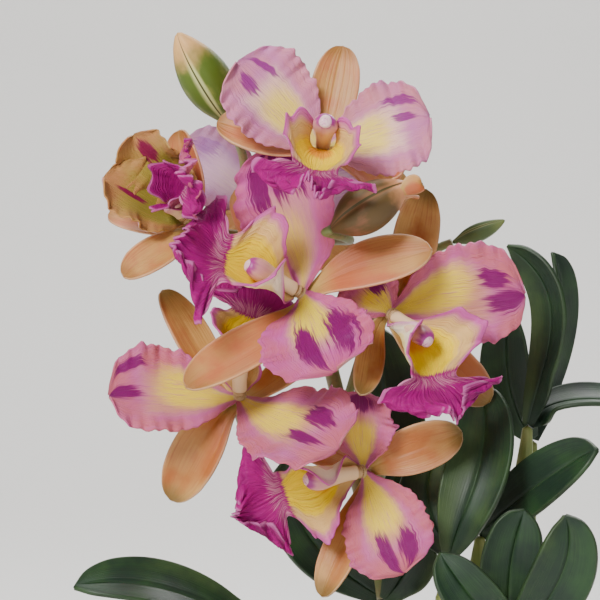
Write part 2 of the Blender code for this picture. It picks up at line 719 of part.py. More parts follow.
def chip(number, dice, middle, size):
    """A rough piece of bark, lying at any angle."""
    shape = bmesh.new()
    bmesh.ops.create_icosphere(shape, subdivisions=1, radius=1)
    turn = Matrix.Rotation(dice.uniform(0, 6.28), 3, "Z") @ Matrix.Rotation(dice.uniform(-0.4, 0.4), 3, "X")
    for vertex in shape.verts:
        rough = vertex.co * dice.uniform(0.78, 1.15)
        place = middle + turn @ Vector((rough.x * size, rough.y * size * 0.62, rough.z * size * 0.5))
        vertex.co = Vector((place.x, place.y, min(place.z, CHIP_TOP)))
    return mesh_object(f"chip_{number}", shape, PIECES)


def make_bark():
    dice = random.Random(4)
    low, high = POT_WALL + GAP, BARK_TOP
    shape = bmesh.new()
    bmesh.ops.create_cone(
        shape, cap_ends=True, cap_tris=True, segments=32, radius1=inner_radius(low) - BARK_SIDE_GAP,
        radius2=inner_radius(high) - BARK_SIDE_GAP, depth=high - low,
    )  # fmt: skip
    bmesh.ops.translate(shape, vec=Vector((0, 0, (low + high) / 2)), verts=shape.verts)
    trunk = mesh_object("bark", shape, PLANT)
    for k in range(CHIP_COUNT):
        radius = math.sqrt((k + 0.5) / CHIP_COUNT) * (inner_radius(high) - 10)
        angle = k * math.radians(137.5)
        middle = Vector((radius * math.cos(angle), radius * math.sin(angle), BARK_TOP + dice.uniform(0, 2.6)))
        chip(k, dice, middle, dice.uniform(6.5, 8.8))
    fused("bark", material("bark", BARK_BROWN, 0.95), trunk, PIECES)


def make_roots():
    for name, points in ROOTS.items():
        path = smooth_path([Vector(p) for p in points], 3)
        made = tube(name, PIECES, path, tapering(len(path), ROOT_RADIUS, ROOT_RADIUS * 0.7))
        finish(made, name, material("root", ROOT_GREY, 0.7))


make_blooms()
make_buds()
make_flower_stem()
make_canes()
make_leaves()
make_rhizome()
make_bark()
make_roots()
make_pot()
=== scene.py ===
"""The looks of a cattleya orchid in its pot: waved petals and frilled lips with their colours and veins, glossy strap
leaves, ribbed canes, bark and a clay pot, on a pale floor."""

import math

import bmesh
import bpy
import numpy as np
from mathutils import Matrix, Vector


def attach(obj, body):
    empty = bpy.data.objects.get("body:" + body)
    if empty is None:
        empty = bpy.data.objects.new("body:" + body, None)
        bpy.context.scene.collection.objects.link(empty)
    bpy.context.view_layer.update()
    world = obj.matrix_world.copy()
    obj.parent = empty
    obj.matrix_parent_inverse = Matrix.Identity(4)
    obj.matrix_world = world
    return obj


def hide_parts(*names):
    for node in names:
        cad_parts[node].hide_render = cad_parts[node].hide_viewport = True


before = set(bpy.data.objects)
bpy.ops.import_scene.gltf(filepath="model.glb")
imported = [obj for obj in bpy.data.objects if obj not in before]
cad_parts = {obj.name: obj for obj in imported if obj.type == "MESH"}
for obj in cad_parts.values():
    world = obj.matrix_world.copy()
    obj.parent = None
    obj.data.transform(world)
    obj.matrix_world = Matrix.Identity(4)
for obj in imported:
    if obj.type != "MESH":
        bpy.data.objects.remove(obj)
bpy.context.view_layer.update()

MM = 0.001
GAP = 0.3

# Places in the spray are millimetres to the right, up and back from its middle, as seen from the front.
VIEW_DISTANCE = 900.0
SPRAY_MIDDLE = np.array((-44.0, -30.0, 310.0))

POT_HEIGHT = 104.0
POT_TOP_RADIUS = 66.0
POT_FOOT_RADIUS = 47.0
POT_WALL = 5.0
RIM_HEIGHT = 20.0
RIM_STEP = 4.0
DRAIN_RADIUS = 5.0
DRAIN_CIRCLE = 24.0
BARK_TOP = 92.0

SEPAL_THICK = 0.9
PETAL_THICK = 0.7
LIP_THICK = 0.7
LEAF_THICK = 1.8
SECTION_STEPS = 8
ROOT_SHARE = 0.3
SEAT_RADIUS = 3.2
SEAT_THICK = 2.0
COLUMN_LENGTH = 25.0
LIP_SETBACK = 1.6

# Half widths along a blade, as shares of its widest place, from the root at 0 to the tip at 1.
SEPAL_OUTLINE = (
    (0, 0.26), (0.15, 0.5), (0.4, 0.9), (0.6, 1.0), (0.78, 0.9), (0.87, 0.74), (0.93, 0.57),
    (0.97, 0.38), (0.99, 0.22), (1, 0.1),
)  # fmt: skip
PETAL_OUTLINE = (
    (0, 0.13), (0.12, 0.32), (0.35, 0.78), (0.55, 0.97), (0.7, 1.0), (0.83, 0.9), (0.93, 0.68), (1, 0.32),
)  # fmt: skip
LIP_OUTLINE = (
    (0, 0.12), (0.1, 0.32), (0.2, 0.54), (0.3, 0.86), (0.4, 1.0), (0.49, 0.88), (0.57, 0.48),
    (0.64, 0.4), (0.7, 0.66), (0.79, 0.96), (0.88, 1.02), (0.95, 0.9), (1, 0.72),
)  # fmt: skip
LEAF_OUTLINE = ((0, 0.24), (0.12, 0.5), (0.35, 0.9), (0.6, 1.0), (0.82, 0.82), (0.94, 0.48), (1, 0.14))

# How far each edge is turned up towards the face, in radians, along the blade.
LIP_CURL = (
    (0, 1.6), (0.1, 3.0), (0.2, 3.5), (0.3, 3.2), (0.42, 2.6), (0.54, 1.7), (0.64, 0.6), (0.76, 0.0), (1, -0.6),
)  # fmt: skip
EVEN = ((0, 1.0), (1, 1.0))

# How much the outer part of each half turns back again.
LIP_FLARE = ((0, 0.1), (0.14, 0.15), (0.3, 0.5), (0.45, 0.62), (1, 0.5))
NONE = ((0, 0.0), (1, 0.0))

# How strongly an edge waves, along the blade.
PETAL_WAVING = ((0, 0.0), (0.25, 0.15), (0.6, 0.8), (1, 1.0))
LIP_WAVING = ((0, 0.0), (0.3, 0.05), (0.5, 0.45), (0.62, 0.3), (0.75, 0.8), (1, 1.0))


def seen(right, up, back):
    """The point that appears this far right of and above the spray's middle, at a depth behind it."""
    spread = 1 + back / VIEW_DISTANCE
    return SPRAY_MIDDLE + np.array((right * spread, back, up * spread))


def unit(v):
    v = np.asarray(v, float)
    return v / np.linalg.norm(v, axis=-1, keepdims=True)


def along(table, s):
    """A smooth curve through a table of (place, value)."""
    place, value = np.array(table, float).T
    s = np.asarray(s, float)
    last = len(place) - 1
    slope = [
        (value[min(k + 1, last)] - value[max(k - 1, 0)]) / (place[min(k + 1, last)] - place[max(k - 1, 0)])
        for k in range(last + 1)
    ]
    slope = np.array(slope)
    i = np.clip(np.searchsorted(place, s, side="right") - 1, 0, last - 1)
    span = place[i + 1] - place[i]
    x = (s - place[i]) / span
    return (
        value[i] * (1 + 2 * x) * (1 - x) ** 2
        + slope[i] * span * x * (1 - x) ** 2
        + value[i + 1] * x * x * (3 - 2 * x)
        + slope[i + 1] * span * x * x * (x - 1)
    )


def settle(x):
    """Rises smoothly from 0 to 1 while x does."""
    x = np.clip(x, 0.0, 1.0)
    return x * x * (3 - 2 * x)


def bezier(points, s):
    """Places and directions on a cubic Bezier curve."""
    a, b, c, d = (np.asarray(p, float) for p in points)
    s = np.asarray(s, float)[..., None]
    r = 1 - s
    place = a * r**3 + b * 3 * r * r * s + c * 3 * r * s * s + d * s**3
    heading = (b - a) * r * r + (c - b) * 2 * r * s + (d - c) * s * s
    return place, unit(heading)


# Mesh work

def add_object(name, mesh):
    made = bpy.data.objects.new(name, mesh)
    bpy.context.scene.collection.objects.link(made)
    return made


def settled(made):
    """Turns an object's modifiers into plain mesh."""
    bpy.context.view_layer.update()
    mesh = bpy.data.meshes.new_from_object(made.evaluated_get(bpy.context.evaluated_depsgraph_get()))
    made.modifiers.clear()
    made.data = mesh
    return made


def joined(name, parts):
    """One piece of several, which keeps their materials and marks."""
    if len(parts) > 1:
        merge(parts)
    parts[0].name = name
    parts[0].data.name = name
    parts[0].data.shade_smooth()
    return parts[0]


def merge(parts):
    with bpy.context.temp_override(active_object=parts[0], object=parts[0], selected_editable_objects=parts):
        bpy.ops.object.join()


def mark(mesh, **marks):
    """Keeps numbers worked out for each point, which the materials read."""
    for name, values in marks.items():
        values = np.asarray(values, np.float32)
        flat = values.ndim == 1
        made = mesh.attributes.new(name, "FLOAT" if flat else "FLOAT_VECTOR", "POINT")
        made.data.foreach_set("value" if flat else "vector", values.ravel())


def sheet(name, cells, shape, marks, number, thick, looks):
    """One blade of tissue: a grid given its shape and marks, and then its thickness. The last material is its face."""
    grid = bmesh.new()
    bmesh.ops.create_grid(grid, x_segments=cells[0], y_segments=cells[1], size=1)
    mesh = bpy.data.meshes.new(name)
    grid.to_mesh(mesh)
    grid.free()
    flat = np.empty(len(mesh.vertices) * 3, np.float32)
    mesh.vertices.foreach_get("co", flat)
    flat = flat.reshape(-1, 3).astype(float)
    s, t = (flat[:, 0] + 1) / 2, flat[:, 1]
    mesh.vertices.foreach_set("co", (shape(s, t) * MM).astype(np.float32).ravel())
    mark(mesh, place=np.stack((s, t, np.full_like(s, number)), axis=1), **marks(s, t))
    for look in looks:
        mesh.materials.append(look)
    made = add_object(name, mesh)
    wall = made.modifiers.new("thickness", "SOLIDIFY")
    wall.thickness = thick * MM
    wall.offset = 0
    wall.material_offset = len(looks) - 1
    wall.material_offset_rim = len(looks) - 1
    return settled(made)


def cross_section(t, half, edge, flare):
    """How far the blade at t lies beside its midrib, and how far it rises over it."""
    across = np.zeros_like(t)
    rise = np.zeros_like(t)
    for k in range(SECTION_STEPS):
        u = abs(t) * (k + 0.5) / SECTION_STEPS
        angle = edge * u * (1 - flare * u * u)
        across += np.cos(angle)
        rise += np.sin(angle)
    step = half * abs(t) / SECTION_STEPS
    return np.sign(t) * across * step, rise * step


def blade(spine, root_face, face, width, outline, curl=0.0, curls=EVEN, flare=NONE, lean=0.0, skew=0.0, twist=0.0,
          wave=0.0, waves=3.0, phase=0.0, waving=PETAL_WAVING, fan=0.0, ruffled=False, frill=0.0, frills=9.0,
          keel=0.0, rounding=0.0, notch=0.0, blunt=0.985):  # fmt: skip
    """The shape of a petal, sepal, lip or leaf: laid along a spine, curled across it, waved and frilled at its
    edges, and creased by keel along its midrib. Lean curls one half more than the other, and skew widens it."""

    def shape(s, t):
        reach = s - fan * t * t * settle((s - 0.6) / 0.4)
        if ruffled:
            cut = np.sin(17 * t + 3 * phase) * np.sin(9 * t + phase) + 0.5 * np.sin(43 * t + phase)
            reach = reach - 0.016 * settle((s - 0.8) / 0.2) * (1 + cut)
        place, heading = bezier(spine, reach)
        turned = settle(s / ROOT_SHARE)[:, None]
        side = unit(np.cross(heading, root_face * (1 - turned) + face * turned))
        normal = np.cross(side, heading)
        edge = curl * along(curls, s) * turned[:, 0] * (1 + lean * np.sign(t))
        half = width / 2 * along(outline, s) * (1 + skew * np.sign(t))
        half = half * (1 + notch * np.sin(61 * s + 3 * phase + 2 * np.sign(t)) * np.sin(23 * s + phase))
        if rounding:
            half = half * np.sqrt(1 - (blunt * np.clip((s - 1 + rounding) / rounding, 0, 1)) ** 2)
        across, rise = cross_section(t, half, edge, along(flare, s))
        around = np.arctan2(t, 2 * np.maximum(s - 0.55, 0.0) + 0.05) / math.pi
        near_edge = np.maximum(t * t, settle((s - 0.75) / 0.25)) if ruffled else t * t
        count = around if ruffled else s
        lag = 0 if ruffled else np.where(t < 0, 1.9, 0.0)
        rise = rise + wave * along(waving, s) * near_edge * np.sin(2 * math.pi * waves * count + phase + lag)
        fine = 2 * math.pi * frills * count + 2.2 * phase + 1.3 * np.sin(5 * count + phase) + 2 * lag
        rise = rise + frill * along(waving, s) * near_edge**2 * np.sin(fine)
        if ruffled:
            side_lobes = settle((s - 0.16) / 0.14) * (1 - settle((s - 0.5) / 0.12)) * t**4
            rise = rise + 1.9 * side_lobes * np.sin(2 * math.pi * 9 * s + phase + 2 * t + 1.8 * np.sin(11 * s + phase))
        rise = rise - keel * np.exp(-((t / 0.07) ** 2)) * settle(s / 0.1) * settle((1 - s) / 0.1)
        offset = side * across[:, None] + normal * rise[:, None]
        angle = (twist * s)[:, None]
        return place + offset * np.cos(angle) + np.cross(heading, offset) * np.sin(angle)

    return shape


def smooth_path(points, steps):
    """A round path through the points, with this many steps between each two."""
    path = []
    for i in range(len(points) - 1):
        before, start = points[max(i - 1, 0)], points[i]
        end, after = points[i + 1], points[min(i + 2, len(points) - 1)]
        spine = (start, start + (end - before) / 6, end - (after - start) / 6, end)
        path += list(bezier(spine, np.arange(steps) / steps)[0])
    return path + [points[-1]]


def tube(name, points, radii, looks, sides=4, number=0.0):
    """A stem, root or rhizome: a curve with a round section whose radius follows the radii."""
    curve = bpy.data.curves.new(name, "CURVE")
    curve.dimensions = "3D"
    curve.bevel_depth = MM
    curve.bevel_resolution = sides
    curve.use_fill_caps = True
    spline = curve.splines.new("POLY")
    spline.points.add(len(points) - 1)
    for control, point, radius in zip(spline.points, points, radii):
        control.co = (*(np.asarray(point) * MM), 1)
        control.radius = radius
    guide = add_object(name, curve)
    bpy.context.view_layer.update()
    mesh = bpy.data.meshes.new_from_object(guide.evaluated_get(bpy.context.evaluated_depsgraph_get()))
    bpy.data.objects.remove(guide)
    shape = bmesh.new()
    shape.from_mesh(mesh)
    bmesh.ops.remove_doubles(shape, verts=shape.verts, dist=0.00001)
    bmesh.ops.recalc_face_normals(shape, faces=shape.faces)
    shape.to_mesh(mesh)
    shape.free()
    mesh.materials.clear()
    mesh.materials.append(looks)
    mark(mesh, place=np.full((len(mesh.vertices), 3), number))
    return add_object(name, mesh)


def spindle(name, spine, radius, looks, flat=1.0, cells=(48, 40), face=(0.0, 0.0, 1.0), number=0.0):
    """A bud, cane or column: a sphere drawn out along a spine. radius(s, angle) gives its section."""
    shape = bmesh.new()
    bmesh.ops.create_uvsphere(shape, u_segments=cells[0], v_segments=cells[1], radius=1)
    mesh = bpy.data.meshes.new(name)
    shape.to_mesh(mesh)
    shape.free()
    ball = np.empty(len(mesh.vertices) * 3, np.float32)
    mesh.vertices.foreach_get("co", ball)
    ball = ball.reshape(-1, 3).astype(float)
    s = np.arccos(np.clip(ball[:, 2], -1, 1)) / math.pi
    place, heading = bezier(spine, s)
    side = unit(np.cross(heading, face))
    normal = np.cross(side, heading)
    angle = np.arctan2(ball[:, 1], ball[:, 0])
    reach = np.where(np.hypot(ball[:, 0], ball[:, 1]) > 0.001, radius(s, angle), 0.0)[:, None]
    points = place + (side * np.cos(angle)[:, None] + normal * np.sin(angle)[:, None] * flat) * reach
    mesh.vertices.foreach_set("co", (points * MM).astype(np.float32).ravel())
    mark(mesh, place=np.stack((s, angle / math.pi, np.full_like(s, number)), axis=1))
    mesh.materials.append(looks)
    return add_object(name, mesh)


def seat_disc(name, middle, axis, radius, thick, looks):
    shape = bmesh.new()
    bmesh.ops.create_cone(shape, cap_ends=True, segments=24, radius1=radius, radius2=radius, depth=thick)
    bmesh.ops.bevel(shape, geom=shape.edges[:], offset=thick * 0.3, segments=2, affect="EDGES")
    turn = Vector(axis).to_track_quat("Z", "Y").to_matrix().to_4x4()
    bmesh.ops.transform(shape, matrix=Matrix.Translation(Vector(middle)) @ turn, verts=shape.verts)
    bmesh.ops.transform(shape, matrix=Matrix.Scale(MM, 4), verts=shape.verts)
    mesh = bpy.data.meshes.new(name)
    shape.to_mesh(mesh)
    shape.free()
    mesh.materials.append(looks)
    return add_object(name, mesh)


# Materials

def linear(code, alpha=1.0):
    """A colour given as sRGB hex."""
    parts = [int(code[k : k + 2], 16) / 255 for k in (1, 3, 5)]
    return (*[c / 12.92 if c <= 0.04045 else ((c + 0.055) / 1.055) ** 2.4 for c in parts], alpha)


def add(tree, kind, inputs=None, **settings):
    """Adds a node with its settings, and with values or links at its inputs."""
    made = tree.nodes.new(kind)
    for name, value in settings.items():
        setattr(made, name, value)
    for socket, value in (inputs or {}).items():
        if isinstance(value, bpy.types.NodeSocket):
            tree.links.new(value, made.inputs[socket])
        else:
            made.inputs[socket].default_value = value
    return made


def new_material(name, **constants):
    made = bpy.data.materials.new(name)
    made.use_nodes = True
    tree = made.node_tree
    shader = tree.nodes["Principled BSDF"]
    for socket, value in constants.items():
        shader.inputs[socket.replace("_", " ")].default_value = value
    return made, tree, shader


def layered(tree, base, coats):
    """Colours laid one over the other, each by its share."""
    shade = base
    for colour, share in coats:
        shade = add(tree, "ShaderNodeMix", {0: share, 6: shade, 7: colour}, data_type="RGBA").outputs[2]
    return shade


def feathered(tree, mask, streaks, ragged, low, high):
    """A mark whose edge breaks up along the streaks."""
    shift = add(tree, "ShaderNodeMath", {0: streaks, 1: 0.5}, operation="SUBTRACT").outputs[0]
    moved = add(tree, "ShaderNodeMath", {0: shift, 1: ragged, 2: mask}, operation="MULTIPLY_ADD").outputs[0]
    return add(
        tree, "ShaderNodeMapRange", {"Value": moved, "From Min": low, "From Max": high}, interpolation_type="SMOOTHSTEP"
    ).outputs[0]


def marks_of(tree, *names):
    found = []
    for name in names:
        socket = "Vector" if name == "place" else "Fac"
        found.append(add(tree, "ShaderNodeAttribute", attribute_name=name).outputs[socket])
    return found


def streaks_of(tree, place, scale, detail=4.0):
    """Streaks that run along the blade, from its place along, across and its own number."""
    spread = add(tree, "ShaderNodeMapping", {"Vector": place, "Scale": scale}).outputs[0]
    return add(tree, "ShaderNodeTexNoise", {"Vector": spread, "Scale": 1.0, "Detail": detail}).outputs[0]


def mottle_of(tree, size):
    """Soft blotches of about this many millimetres."""
    where = add(tree, "ShaderNodeTexCoord").outputs["Object"]
    return add(tree, "ShaderNodeTexNoise", {"Vector": where, "Scale": 1000 / size, "Detail": 3.0}).outputs[0]


def relief(tree, shader, height, depth):
    bump = add(tree, "ShaderNodeBump", {"Height": height, "Distance": depth * MM, "Strength": 1.0})
    tree.links.new(bump.outputs[0], shader.inputs["Normal"])


def petal_tissue(name, base, pale, flush, yellow, splash, strength=1.0):
    """Petal: thin waxy tissue with a crystalline sheen. Its veins run lengthwise, and feather every mark's edge."""
    made, tree, shader = new_material(
        name, Roughness=0.5, Subsurface_Weight=0.12, Sheen_Weight=0.04, Sheen_Roughness=0.4, Specular_IOR_Level=0.22
    )
    shader.inputs["Subsurface Radius"].default_value = (0.004, 0.0015, 0.0012)
    place, gold, blotch, rim = marks_of(tree, "place", "gold", "blotch", "rim")
    veins = streaks_of(tree, place, (2.4, 15.0, 9.0))
    fine = streaks_of(tree, place, (5.0, 44.0, 9.0), 3.0)
    mottle = mottle_of(tree, 13.0)
    margin = feathered(tree, rim, veins, 0.35, 0.2, 0.95)
    warm = feathered(tree, rim, mottle, 1.5, 0.55, 1.25)
    band = feathered(tree, gold, veins, 0.45, 0.12, 0.85)
    split = add(tree, "ShaderNodeMath", {0: fine, 1: 0.55, 2: -0.275}, operation="MULTIPLY_ADD").outputs[0]
    split = add(tree, "ShaderNodeMath", {0: veins, 1: split}, operation="ADD").outputs[0]
    stain = feathered(tree, blotch, split, 1.2, 0.34, 0.66)
    stain = add(tree, "ShaderNodeMath", {0: stain, 1: strength}, operation="MULTIPLY").outputs[0]
    lines = feathered(tree, fine, veins, 0.4, 0.52, 0.7)
    lines = add(tree, "ShaderNodeMath", {0: lines, 1: 0.5}, operation="MULTIPLY").outputs[0]
    warm = add(tree, "ShaderNodeMath", {0: warm, 1: 0.75}, operation="MULTIPLY").outputs[0]
    colour = layered(
        tree,
        linear(pale),
        [(linear(base), margin), (linear(flush), warm), (linear(yellow), band), (linear(base), lines),
         (linear(splash), stain)],  # fmt: skip
    )
    tree.links.new(colour, shader.inputs["Base Color"])
    relief(tree, shader, add(tree, "ShaderNodeMath", {0: fine, 1: veins}, operation="ADD").outputs[0], 0.5)
    return made


def lip_tissue(name, frill, vein, throat, cheek, back=False):
    """Lip: the same tissue, deep-coloured on the front lobe, vivid yellow in the throat and cream on the side lobes."""
    made, tree, shader = new_material(
        name, Roughness=0.5, Subsurface_Weight=0.1, Specular_IOR_Level=0.16
    )
    shader.inputs["Subsurface Radius"].default_value = (0.004, 0.0015, 0.0012)
    place, gold, front, fringe, rim, edge = marks_of(tree, "place", "gold", "front", "fringe", "rim", "edge")
    deep = marks_of(tree, "deep")[0]
    veins = streaks_of(tree, place, (1.6, 13.0, 5.0))
    fine = streaks_of(tree, place, (3.0, 34.0, 5.0), 3.0)
    band = feathered(tree, gold, veins, 0.5, 0.2, 0.62)
    lobe = feathered(tree, front, fine, 1.3, 0.3, 0.6)
    pink = feathered(tree, rim, veins, 0.5, 0.3, 1.0)
    lines = feathered(tree, fine, veins, 0.5, 0.56, 0.74)
    lines = add(tree, "ShaderNodeMath", {0: lines, 1: 0.09}, operation="MULTIPLY").outputs[0]
    pale = feathered(tree, fringe, streaks_of(tree, place, (7.0, 40.0, 5.0)), 2.4, 0.85, 1.15)
    pale = add(tree, "ShaderNodeMath", {0: pale, 1: 0.45}, operation="MULTIPLY").outputs[0]
    hem = feathered(tree, edge, fine, 0.9, 0.5, 1.0)
    hem = add(tree, "ShaderNodeMath", {0: hem, 1: 0.35}, operation="MULTIPLY").outputs[0]
    hot = feathered(tree, deep, veins, 0.5, 0.2, 0.8)
    dark = feathered(tree, front, mottle_of(tree, 7.0), 1.2, 0.7, 1.4)
    dark = add(tree, "ShaderNodeMath", {0: dark, 1: 0.45}, operation="MULTIPLY").outputs[0]
    colour = layered(
        tree,
        linear(cheek),
        [(linear(vein), pink), (linear(throat), band), (linear("#DE9420"), hot), (linear(frill), lobe),
         (linear("#5C0042"), dark), (linear(vein), lines), (linear("#E7A6B0"), pale), (linear("#DF8CC0"), hem)],  # fmt: skip
    )
    tree.links.new(colour, shader.inputs["Base Color"])
    height = add(tree, "ShaderNodeMath", {0: veins, 1: 0.9, 2: fine}, operation="MULTIPLY_ADD").outputs[0]
    relief(tree, shader, height, 0.9)
    return made


def sepal_tissue(name, base, flush, tip, vein):
    """Sepal: firmer and waxier than a petal, salmon with a dull green cast at its tip and faint lengthwise veins."""
    made, tree, shader = new_material(name, Roughness=0.46, Subsurface_Weight=0.1, Specular_IOR_Level=0.4)
    shader.inputs["Subsurface Radius"].default_value = (0.003, 0.0015, 0.001)
    place, gold, rim, deep = marks_of(tree, "place", "gold", "rim", "deep")
    veins = streaks_of(tree, place, (1.5, 11.0, 3.0))
    mottle = mottle_of(tree, 12.0)
    blush = feathered(tree, mottle, veins, 0.5, 0.42, 0.78)
    blush = add(tree, "ShaderNodeMath", {0: blush, 1: 0.6}, operation="MULTIPLY").outputs[0]
    green = feathered(tree, gold, mottle, 0.6, 0.3, 1.2)
    ochre = feathered(tree, streaks_of(tree, place, (0.7, 0.5, 5.3), 1.0), mottle, 0.5, 0.36, 0.6)
    lines = feathered(tree, veins, mottle, 0.3, 0.56, 0.75)
    lines = add(tree, "ShaderNodeMath", {0: lines, 1: 0.24}, operation="MULTIPLY").outputs[0]
    edge = add(tree, "ShaderNodeMath", {0: rim, 1: 0.3}, operation="MULTIPLY").outputs[0]
    colour = layered(
        tree, linear(base),
        [(linear("#B98A4A"), ochre), (linear("#B79A52"), feathered(tree, deep, veins, 0.4, 0.3, 1.1)), (linear(flush), blush), (linear(tip), green), (linear(vein), lines), (linear("#F0C6A0"), edge)],
    )  # fmt: skip
    tree.links.new(colour, shader.inputs["Base Color"])
    relief(tree, shader, veins, 0.3)
    return made


def plain_tissue(name, base, second, third, size, roughness, depth=0.2, stretch=None, coat=0.0, **constants):
    """Stems, canes, buds, leaves' undersides, roots: living tissue of three close tones, streaked or blotched."""
    made, tree, shader = new_material(name, Roughness=roughness, Coat_Weight=coat, **constants)
    (place,) = marks_of(tree, "place")
    mottle = mottle_of(tree, size)
    grain = streaks_of(tree, place, stretch) if stretch else mottle_of(tree, size / 5)
    first = feathered(tree, mottle, grain, 0.6, 0.35, 0.7)
    spots = feathered(tree, grain, mottle, 0.4, 0.55, 0.8)
    colour = layered(tree, linear(base), [(linear(second), first), (linear(third), spots)])
    tree.links.new(colour, shader.inputs["Base Color"])
    relief(tree, shader, grain, depth)
    return made


def column_tissue():
    """Column: smooth waxy cream, flushed pink along its back and rimmed with magenta behind the anther cap."""
    made, tree, shader = new_material("column", Roughness=0.42, Subsurface_Weight=0.12)
    shader.inputs["Subsurface Radius"].default_value = (0.003, 0.0015, 0.001)
    (place,) = marks_of(tree, "place")
    along_it = add(tree, "ShaderNodeSeparateXYZ", {"Vector": place}).outputs[0]
    grain = streaks_of(tree, place, (2.0, 6.0, 3.0))
    flush = feathered(tree, along_it, grain, 0.8, 0.3, 1.0)
    rim = feathered(tree, along_it, grain, 0.2, 0.84, 0.95)
    colour = layered(tree, linear("#DFBE94"), [(linear("#CC8490"), flush), (linear("#982A7C"), rim)])
    tree.links.new(colour, shader.inputs["Base Color"])
    relief(tree, shader, grain, 0.1)
    return made


def leaf_tissue():
    """Leaf: thick leathery strap with a waxy gloss, fine lengthwise grain, a paler midrib and a thin pale rim."""
    made, tree, shader = new_material("leaf blade", Roughness=0.5, Coat_Weight=0.05, Coat_Roughness=0.35, Specular_IOR_Level=0.35)
    place, gold, rim = marks_of(tree, "place", "gold", "rim")
    grain = streaks_of(tree, place, (2.0, 26.0, 4.0))
    mottle = mottle_of(tree, 16.0)
    old = streaks_of(tree, place, (0.6, 0.6, 7.3), 1.0)
    light = feathered(tree, mottle, grain, 0.5, 0.35, 0.8)
    aged = feathered(tree, old, mottle, 0.3, 0.5, 0.75)
    aged = add(tree, "ShaderNodeMath", {0: aged, 1: 0.55}, operation="MULTIPLY").outputs[0]
    rib = add(tree, "ShaderNodeMath", {0: gold, 1: 0.35}, operation="MULTIPLY").outputs[0]
    edge = add(tree, "ShaderNodeMath", {0: rim, 1: 0.06}, operation="MULTIPLY").outputs[0]
    colour = layered(
        tree, linear("#0F2416"),
        [(linear("#1F3C1B"), light), (linear("#43552A"), aged), (linear("#48663A"), rib), (linear("#6E7E42"), edge)],
    )  # fmt: skip
    tree.links.new(colour, shader.inputs["Base Color"])
    relief(tree, shader, grain, 0.15)
    return made


def bud_tissue(name, base, seam_and_highlight_colour, tip, flush):
    """Bud: three waxy sepals closed edge to edge, green with paler seams that are partly a painted highlight, a painted
    shade line down each seam's groove, turning peach as it ripens.
    """
    made, tree, shader = new_material(name, Roughness=0.55, Subsurface_Weight=0.08, Specular_IOR_Level=0.35)
    shader.inputs["Subsurface Radius"].default_value = (0.003, 0.002, 0.001)
    place, gold, rim = marks_of(tree, "place", "gold", "rim")
    veins = streaks_of(tree, place, (1.2, 9.0, 5.0))
    mottle = mottle_of(tree, 8.0)
    # Pale band along each seam: the sepals' paler margins, partly a painted highlight.
    seam = feathered(tree, rim, veins, 0.4, 0.4, 1.0)
    # Painted shade: a dark line down the groove where each sepal laps over the next.
    seam_groove_shade = feathered(tree, rim, veins, 0.02, 0.94, 0.985)
    ripe = feathered(tree, gold, mottle, 0.7, 0.3, 0.9)
    blush = feathered(tree, mottle, veins, 0.8, 0.5, 0.8)
    blush = add(tree, "ShaderNodeMath", {0: blush, 1: 0.5}, operation="MULTIPLY").outputs[0]
    colour = layered(
        tree, linear(base), [(linear(flush), blush), (linear(seam_and_highlight_colour), seam), (linear(tip), ripe), (linear("#3B3A1C"), seam_groove_shade)]
    )
    tree.links.new(colour, shader.inputs["Base Color"])
    relief(tree, shader, veins, 0.25)
    return made


def fired_clay():
    """Pot: unglazed red earthenware, turned, with fine grit, faint turning lines and pale mineral bloom."""
    made, tree, shader = new_material("fired clay", Roughness=0.85, Specular_IOR_Level=0.3)
    where = add(tree, "ShaderNodeTexCoord").outputs["Object"]
    rings = add(tree, "ShaderNodeMapping", {"Vector": where, "Scale": (12.0, 12.0, 420.0)}).outputs[0]
    lines = add(tree, "ShaderNodeTexNoise", {"Vector": rings, "Scale": 1.0, "Detail": 3.0}).outputs[0]
    grit = mottle_of(tree, 1.2)
    clouds = mottle_of(tree, 34.0)
    bloom = feathered(tree, clouds, grit, 0.35, 0.5, 0.72)
    bloom = add(tree, "ShaderNodeMath", {0: bloom, 1: 0.55}, operation="MULTIPLY").outputs[0]
    dark = feathered(tree, lines, grit, 0.5, 0.5, 0.8)
    dark = add(tree, "ShaderNodeMath", {0: dark, 1: 0.5}, operation="MULTIPLY").outputs[0]
    colour = layered(tree, linear("#A4583A"), [(linear("#83412A"), dark), (linear("#C4957A"), bloom)])
    tree.links.new(colour, shader.inputs["Base Color"])
    rough = add(tree, "ShaderNodeMath", {0: grit, 1: 0.6, 2: lines}, operation="MULTIPLY_ADD").outputs[0]
    relief(tree, shader, rough, 0.3)
    return made


def bark_chips():
    """Fir bark: rough corky chips, red-brown on broken faces and grey-brown on weathered ones."""
    made, tree, shader = new_material("fir bark", Roughness=0.92, Specular_IOR_Level=0.25)
    where = add(tree, "ShaderNodeTexCoord").outputs["Object"]
    layers = add(tree, "ShaderNodeMapping", {"Vector": where, "Scale": (180.0, 180.0, 900.0)}).outputs[0]
    cork = add(tree, "ShaderNodeTexNoise", {"Vector": layers, "Scale": 1.0, "Detail": 5.0}).outputs[0]
    chips = mottle_of(tree, 9.0)
    grey = feathered(tree, chips, cork, 0.5, 0.45, 0.62)
    dark = feathered(tree, cork, chips, 0.4, 0.55, 0.75)
    colour = layered(tree, linear("#6B4330"), [(linear("#7D6A58"), grey), (linear("#2C1B12"), dark)])
    tree.links.new(colour, shader.inputs["Base Color"])
    relief(tree, shader, cork, 0.8)
    return made


